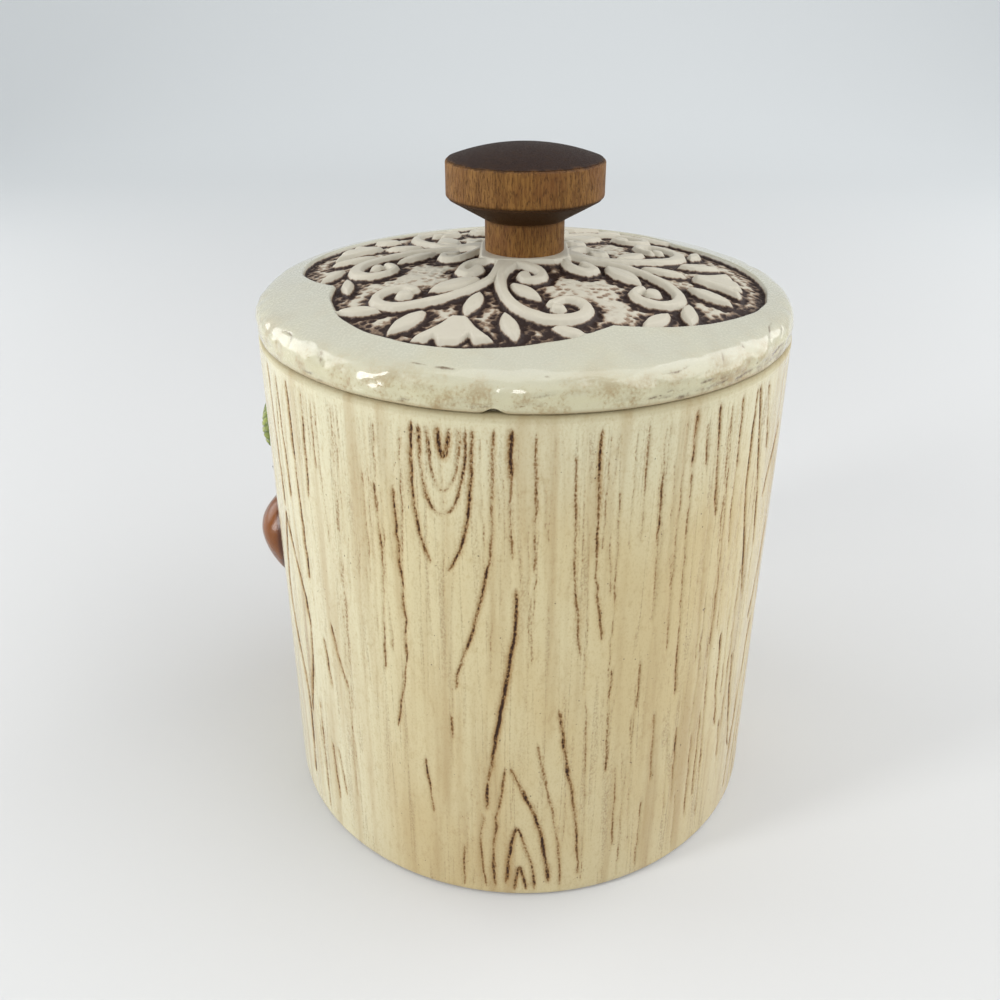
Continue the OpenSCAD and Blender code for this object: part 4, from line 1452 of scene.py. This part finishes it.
    def build(self) -> None:
        """Make the lid."""
        outline, first, last, hidden = self._outline()
        profile = np.array(outline)
        rows = len(profile)
        turns = np.arange(self.columns) * 2 * math.pi / self.columns
        radius = np.repeat(profile[:, :1], self.columns, 1)
        height = np.repeat(profile[:, 1:], self.columns, 1)
        x, y = radius * np.cos(turns), radius * np.sin(turns)
        painted = {name: np.zeros((rows, self.columns)) for name in ("stain", "panel", "grain", "inside")}
        rise, stain, panel = self._carving(x[first:last], y[first:last])
        painted["stain"][first:last], painted["panel"][first:last] = stain, panel
        height[first:last] += rise
        run = np.concatenate([[0.0], np.cumsum(np.hypot(*np.diff(profile[:first], axis=0).T))])
        even = np.linspace(0.0, run[-1], first)
        marks = self._side_marks(even)
        side_grain = np.stack([np.interp(run, even, marks.grain[:, j]) for j in range(self.columns)], 1)
        painted["grain"][:first] = side_grain
        painted["inside"][hidden:] = 1.0
        around = turns[None, :] * self.radius
        cell = 2 * math.pi * self.radius / NOISE_CELLS
        up = run[:, None]
        waves = soft_noise(around, up * 1.3, cell, 61) + 0.5 * soft_noise(around, up * 2.4, cell / 2, 67)
        soften = smooth(0.0, 1.5, up) * smooth(0.0, 2.0, run[-1] - up)
        radius[:first] += soften * (self.wave_depth * waves - self.cut_depth * side_grain)
        off = np.mod(np.degrees(turns) - PHOTO_TURN - self.chip_turn + 180.0, 360.0) - 180.0
        chip = np.exp(-off ** 2 / self.chip_width ** 2)
        height[:first] += self.chip_rise * chip[None, :] * (1.0 - smooth(0.0, 2.4, up))
        points = np.stack([radius * np.cos(turns), radius * np.sin(turns), height], -1).reshape(-1, 3)
        piece = make_piece(
            "lid_carved", points, grid_quads(rows, self.columns, True, True), NO_TRIANGLES, painted,
        )
        dress(piece, self.finish.material())
        settle(piece, Body.LID, "lid_glaze", "lid")


@dataclass
class KnobFixing:
    """The turned knob with its screw and washers, which keep their own solids."""

    wood: KnobWood = field(default_factory=KnobWood)
    screw: PlatedSteel = field(default_factory=lambda: PlatedSteel("screw_steel"))
    washer: PlatedSteel = field(default_factory=lambda: PlatedSteel("washer_steel", dull=(0.36, 0.35, 0.33)))
    cushion: PressedFibre = field(default_factory=PressedFibre)

    def dress(self) -> None:
        """Give each of the four solids its finish."""
        finishes = {
            "knob": self.wood, "knob_screw": self.screw,
            "knob_washer": self.washer, "cushion_washer": self.cushion,
        }
        for node, finish in finishes.items():
            dress(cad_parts[node], finish.material())
            LOG.info("%s: dressed", node)


@dataclass
class FruitSprig:
    """The fruits, leaves and twig in relief on the front of the pot."""

    wall: float = 65.0
    face: float = -90.0
    fruit_turns: Tuple[float, ...] = (-54.0, -27.0, 0.0, 27.0, 54.0)
    fruit_heights: Tuple[float, ...] = (70.0, 57.0, 70.0, 57.0, 70.0)
    fruit_r: float = 11.5
    tip_r: float = 8.5
    tip_drop: float = 7.0
    relief: float = 6.0
    leaf_turns: Tuple[float, ...] = (-54.0, -32.4, -10.8, 10.8, 32.4, 54.0)
    leaf_height: float = 100.5
    leaf_length: float = 20.0
    leaf_width: float = 10.0
    leaf_relief: float = 2.8
    leaf_lean: float = 22.0
    twig_height: float = 86.5
    twig_r: float = 1.8
    twig_wave: float = 1.8
    twig_end: float = 60.0
    stalk_r: float = 1.3
    buried: float = 1.4
    fruit_grid: Tuple[int, int] = (72, 96)
    leaf_grid: Tuple[int, int] = (90, 49)
    twig_sides: int = 20
    twig_steps: int = 260
    stalk_steps: int = 40
    fruit_glaze: ColourGlaze = field(default_factory=lambda: ColourGlaze(
        "fruit_glaze", (0.150, 0.042, 0.006), (0.050, 0.012, 0.002), (0.230, 0.076, 0.012), 6.0))
    leaf_glaze: ColourGlaze = field(default_factory=lambda: ColourGlaze(
        "leaf_glaze", (0.270, 0.310, 0.065), (0.085, 0.115, 0.026), (0.450, 0.470, 0.150)))
    twig_glaze: ColourGlaze = field(default_factory=lambda: ColourGlaze(
        "twig_glaze", (0.150, 0.095, 0.032), (0.045, 0.025, 0.010), (0.300, 0.205, 0.085), 3.0))

    def _on_wall(self, turn: np.ndarray, out: np.ndarray, z: np.ndarray) -> np.ndarray:
        """Return points on or over the wall.

        Args:
            turn: Degrees from the sprig's middle.
            out: Millimetres out of the wall.
            z: Heights.

        Returns:
            The points, one row each.
        """
        a = np.radians(turn + self.face)
        r = self.wall + out
        return np.stack(np.broadcast_arrays(r * np.cos(a), r * np.sin(a), z), -1).reshape(-1, 3)

    def _fruit(self, number: int, material: bpy.types.Material) -> None:
        """Model one fruit, with its back sunk into the wall.

        Args:
            number: The fruit's number, from 1.
            material: Its glaze.
        """
        rows, columns = self.fruit_grid
        turn, z0 = self.fruit_turns[number - 1], self.fruit_heights[number - 1]
        rng = np.random.default_rng(100 + number)
        down = np.linspace(0.02, math.pi - 0.02, rows)[:, None]
        spin = np.linspace(0.0, 2 * math.pi, columns, endpoint=False)[None, :]
        tip = smooth(-0.2, 1.0, -np.cos(down))
        girth = self.fruit_r + (self.tip_r - self.fruit_r) * tip
        ribs = 0.16 * np.cos(5 * spin + rng.uniform(0, 6)) * np.sin(down)
        dent = 1.3 * np.exp(-(down / 0.28) ** 2)
        lumps = 0.16 * soft_noise(spin * 5.0 + 40.0, down * 5.0 + 9.0 * number, 1.6, 71)
        girth = girth + (ribs + lumps) * np.sin(down)
        across = girth * np.sin(down)
        along = girth * np.cos(down) - self.tip_drop * tip - dent
        depth = across * np.cos(spin) + self.relief - self.fruit_r
        side = across * np.sin(spin)
        out = np.maximum(depth, -self.buried)
        degrees = turn + np.degrees(side / self.wall)
        points = self._on_wall(degrees, out, z0 + along)
        seam = 1.0 - smooth(0.0, 1.6, depth)
        hollow = np.clip(seam + 0.9 * np.exp(-(down / 0.3) ** 2) - 2.0 * lumps, 0.0, 1.0)
        ends = np.stack([points[:columns].mean(0), points[-columns:].mean(0)])
        count = len(points)
        low_row = (rows - 1) * columns
        caps = np.vstack([fan(count, 0, columns, False), fan(count + 1, low_row, columns, True)])
        quads = grid_quads(rows, columns, False, True)[:, ::-1]
        marks = {"hollow": np.append(np.broadcast_to(hollow, (rows, columns)).ravel(), [1.0, 0.6])}
        piece = make_piece(f"fruit_{number}_modelled", np.vstack([points, ends]), quads, caps, marks)
        dress(piece, material)
        settle(piece, Body.POT, "fruit_glaze", f"fruit_{number}")

    def _leaf(self, number: int, material: bpy.types.Material) -> None:
        """Model one leaf with its midrib and side veins.

        Args:
            number: The leaf's number, from 1.
            material: Its glaze.
        """
        rows, columns = self.leaf_grid
        turn = self.leaf_turns[number - 1]
        lean = math.radians(-self.leaf_lean if turn < 0 else self.leaf_lean)
        t = np.linspace(0.0, 1.0, rows)[:, None]
        v = np.linspace(-1.0, 1.0, columns)[None, :]
        half = self.leaf_width / 2 * np.sin(math.pi * np.clip(t, 0.004, 0.996)) ** 0.8
        half = half * (1.0 + 0.07 * np.sin(t * 40.0))
        u = (t - 0.5) * self.leaf_length
        w = v * half + 0.7 * np.sin(math.pi * t) * np.sin(2.2 * t)
        rib = np.exp(-(v * half / 0.4) ** 2)
        veins = np.exp(-(np.mod(t * 9.0 - 2.2 * np.abs(v), 1.0) - 0.5) ** 2 / 0.02) * (1.0 - rib)
        dome = np.clip(1.0 - v ** 2, 0.0, 1.0) ** 0.42 * np.sin(math.pi * t) ** 0.8
        out = self.leaf_relief * dome - 0.5 * rib * dome - 0.28 * veins * dome
        out = out - 0.4 * (1.0 - dome)
        side = w * math.cos(lean) + u * math.sin(lean)
        rise = u * math.cos(lean) - w * math.sin(lean)
        places, high = turn + np.degrees(side / self.wall), self.leaf_height + rise
        face = self._on_wall(places, out, high)
        rear = self._on_wall(places, np.full_like(out, -self.buried), high)
        quads = grid_quads(rows, columns, False, False)
        count = rows * columns
        grid = np.arange(count).reshape(rows, columns)
        loop = np.concatenate([grid[0, :], grid[1:, -1], grid[-1, -2::-1], grid[-2:0:-1, 0]])
        nxt = np.roll(loop, -1)
        skirt = np.stack([loop, loop + count, nxt + count, nxt], -1)
        hollow = np.clip(0.85 * rib + 0.7 * veins + 1.0 - dome, 0.0, 1.0)
        marks = {"hollow": np.concatenate([hollow.ravel(), np.ones(count)])}
        piece = make_piece(
            f"leaf_{number}_modelled", np.vstack([face, rear]),
            np.vstack([quads, quads[:, ::-1] + count, skirt]), NO_TRIANGLES, marks,
        )
        dress(piece, material)
        settle(piece, Body.POT, "leaf_glaze", f"leaf_{number}")

    def _tube(
        self, turns: np.ndarray, heights: np.ndarray, radii: np.ndarray
    ) -> Tuple[np.ndarray, np.ndarray]:
        """Sweep a round rod along a line on the wall.

        Args:
            turns: Degrees from the sprig's middle along the line.
            heights: Heights along the line.
            radii: The rod's radius along the line.

        Returns:
            The points and the quads.
        """
        s = np.radians(turns) * self.wall
        du, dz = np.gradient(s), np.gradient(heights)
        length = np.hypot(du, dz)
        spin = np.linspace(0.0, 2 * math.pi, self.twig_sides, endpoint=False)[None, :]
        aside = radii[:, None] * np.cos(spin)
        out = np.maximum(radii[:, None] * np.sin(spin), -self.buried)
        places = s[:, None] - aside * (dz / length)[:, None]
        z = heights[:, None] + aside * (du / length)[:, None]
        points = self._on_wall(np.degrees(places / self.wall), out, z)
        return points, grid_quads(len(turns), self.twig_sides, False, True)[:, ::-1]

    def _twig(self, material: bpy.types.Material) -> None:
        """Model the twig and its stalks as one piece.

        Args:
            material: Its glaze.
        """
        steps = self.stalk_steps
        turns = np.linspace(-self.twig_end, self.twig_end, self.twig_steps)
        outer = self.fruit_turns[-1]
        heights = self.twig_height + self.twig_wave * np.cos(2 * math.pi * turns / outer)
        knots = 0.3 * np.exp(-((np.mod(turns + 4.0, 11.4) - 5.7) / 0.8) ** 2)
        radii = (self.twig_r + knots - 0.15) * (1.0 - 0.85 * np.abs(turns / self.twig_end) ** 6)
        runs = [(turns, heights, radii)]
        top = math.sqrt(self.fruit_r ** 2 - (self.fruit_r - self.relief) ** 2)
        for turn, height in zip(self.fruit_turns, self.fruit_heights):
            high = self.twig_height + self.twig_wave * math.cos(2 * math.pi * turn / outer)
            z = np.linspace(height + top - 1.2, high, steps)
            bend = turn + 0.5 * np.sin(np.linspace(0.0, math.pi, steps))
            runs.append((bend, z, self.stalk_r * (1.0 + 0.25 * np.linspace(1.0, -1.0, steps) ** 4)))
        points, quads, hollow = [], [], []
        count = 0
        for turn, z, r in runs:
            tube, faces = self._tube(turn, z, r)
            points.append(tube)
            quads.append(faces + count)
            count += len(tube)
            bark = 0.5 + 0.5 * soft_noise(tube[:, 0] + tube[:, 1], tube[:, 2] * 3.0, 1.4, 83)
            hollow.append(bark)
        piece = make_piece(
            "twig_modelled", np.vstack(points), np.vstack(quads), NO_TRIANGLES,
            {"hollow": np.concatenate(hollow)},
        )
        dress(piece, material)
        settle(piece, Body.POT, "twig_glaze", "twig")

    def build(self) -> None:
        """Model every piece of the sprig."""
        fruit, leaf = self.fruit_glaze.material(), self.leaf_glaze.material()
        for number in range(1, len(self.fruit_turns) + 1):
            self._fruit(number, fruit)
        for number in range(1, len(self.leaf_turns) + 1):
            self._leaf(number, leaf)
        self._twig(self.twig_glaze.material())


@dataclass(frozen=True)
class SoftLamp:
    """A soft panel lamp: its place in the photographed side's frame and its size, in millimetres."""

    name: str
    place: Tuple[float, float, float]
    size: Tuple[float, float]
    watts: float


@dataclass
class Studio:
    """The pale floor, the lamps and the camera, in millimetres in the photographed side's frame."""

    floor_tint: Colour = (0.580, 0.585, 0.585)
    floor_cloud: Colour = (0.580, 0.580, 0.575)
    backdrop_glow: Colour = (0.225, 0.250, 0.262)
    sky: float = 0.47
    sky_tint: Colour = (0.96, 0.98, 1.0)
    aim: Tuple[float, float, float] = (0.0, 0.0, 80.0)
    camera_place: Tuple[float, float, float] = (-1.14, -233.9, 204.5)
    pitch: float = 25.47
    yaw: float = -1.18
    sensor: float = 36.0
    focal_share: float = 0.96944
    axis_rise_share: float = 0.05576
    floor_front: float = -2400.0
    bend_start: float = 900.0
    bend_r: float = 800.0
    backdrop_top: float = 2600.0
    backdrop_half: float = 12000.0
    floor_drop: float = 0.05
    lamps: Tuple[SoftLamp, ...] = (
        SoftLamp("window_left", (-625.0, -345.0, 335.0), (120.0, 640.0), 3.2),
        SoftLamp("wall_left", (-820.0, 240.0, 420.0), (600.0, 700.0), 3.7),
        SoftLamp("window_right", (760.0, -60.0, 600.0), (1400.0, 1100.0), 10.8),
        SoftLamp("window_front", (-50.0, -680.0, 440.0), (60.0, 330.0), 0.7),
        SoftLamp("ceiling", (60.0, 120.0, 1000.0), (700.0, 700.0), 1.8),
    )

    @staticmethod
    def _turned(point: Tuple[float, float, float]) -> Vector:
        """Return a point of the photographed side's frame in metres in the canister's frame."""
        return FROM_PHOTO @ (Vector(point) * MM)

    def _floor(self) -> None:
        """Lay a pale floor that sweeps up into a backdrop."""
        bend, r, half = self.bend_start, self.bend_r, self.backdrop_half
        sweep = [(self.floor_front, 0.0), (bend, 0.0)]
        for a in np.linspace(0.1, math.pi / 2, 12):
            sweep.append((bend + r * math.sin(a), r - r * math.cos(a)))
        sweep.append((bend + r, self.backdrop_top))
        points = np.array([FROM_PHOTO @ Vector((x, y, z)) for x in (-half, half) for y, z in sweep])
        points[:, 2] -= self.floor_drop
        quads = grid_quads(2, len(sweep), False, False)[:, ::-1]
        floor = make_piece("floor_sweep", points, quads, NO_TRIANGLES, {})
        bench = Bench("floor_paint")
        cloud = bench.noise(300.0, 2.0)
        colour = bench.mix(cloud * 0.08, self.floor_tint, self.floor_cloud)
        kinds = ("Camera", "Glossy", "Transmission")
        path = [bench.node("ShaderNodeLightPath", output=f"Is {kind} Ray") for kind in kinds]
        away = bench.node("ShaderNodeVectorMath", {"operation": "LENGTH"}, {0: bench.place()}, "Value")
        seen = path[0].most(path[1]).most(path[2])
        glow = bench.mix(away.ease(0.2, 1.2) * seen, (0.0, 0.0, 0.0), self.backdrop_glow)
        dress(floor, bench.close({
            "Base Color": colour, "Roughness": 0.7, "Emission Color": glow, "Emission Strength": 1.0,
        }))

    def _sky(self) -> None:
        """Fill the room with even light."""
        world = bpy.data.worlds.new("soft_room")
        world.use_nodes = True
        bpy.context.scene.world = world
        backdrop = world.node_tree.nodes["Background"]
        backdrop.inputs["Color"].default_value = (*self.sky_tint, 1.0)
        backdrop.inputs["Strength"].default_value = self.sky

    def _lamp(self, lamp: SoftLamp) -> None:
        """Hang one lamp and aim it at the canister.

        Args:
            lamp: The lamp to hang.
        """
        data = bpy.data.lights.new(lamp.name, "AREA")
        data.shape = "RECTANGLE"
        data.size, data.size_y = (side * MM for side in lamp.size)
        data.energy = lamp.watts
        hung = bpy.data.objects.new(lamp.name, data)
        hung.location = self._turned(lamp.place)
        hung.rotation_euler = (self._turned(self.aim) - hung.location).to_track_quat("-Z", "Y").to_euler()
        hung.visible_camera = False
        bpy.context.scene.collection.objects.link(hung)

    def _camera(self) -> None:
        """Stand the camera where the photograph was taken."""
        p, y = math.radians(self.pitch), math.radians(self.yaw)
        ahead = Vector((math.sin(y) * math.cos(p), math.cos(y) * math.cos(p), -math.sin(p)))
        right = Vector((math.cos(y), -math.sin(y), 0.0))
        up = right.cross(ahead)
        facing = FROM_PHOTO @ Matrix((right, up, -ahead)).transposed()
        data = bpy.data.cameras.new("photo_camera")
        data.sensor_fit = "HORIZONTAL"
        data.sensor_width = self.sensor
        data.lens = self.focal_share * self.sensor
        data.shift_y = -self.axis_rise_share
        data.clip_start = 0.01
        camera = bpy.data.objects.new("photo_camera", data)
        camera.matrix_world = Matrix.Translation(self._turned(self.camera_place)) @ facing.to_4x4()
        bpy.context.scene.collection.objects.link(camera)
        bpy.context.scene.camera = camera

    def build(self) -> None:
        """Set the whole studio up."""
        self._camera()
        self._floor()
        self._sky()
        for lamp in self.lamps:
            self._lamp(lamp)
        bpy.context.scene.view_settings.view_transform = "Standard"
        LOG.info("studio: %d lamps", len(self.lamps))


def main() -> None:
    """Build the studio and every piece of the canister."""
    logging.basicConfig(level=logging.INFO, format="%(name)s: %(message)s")
    Studio().build()
    Pot().build()
    Lid().build()
    KnobFixing().dress()
    FruitSprig().build()


if __name__ == "__main__":
    main()
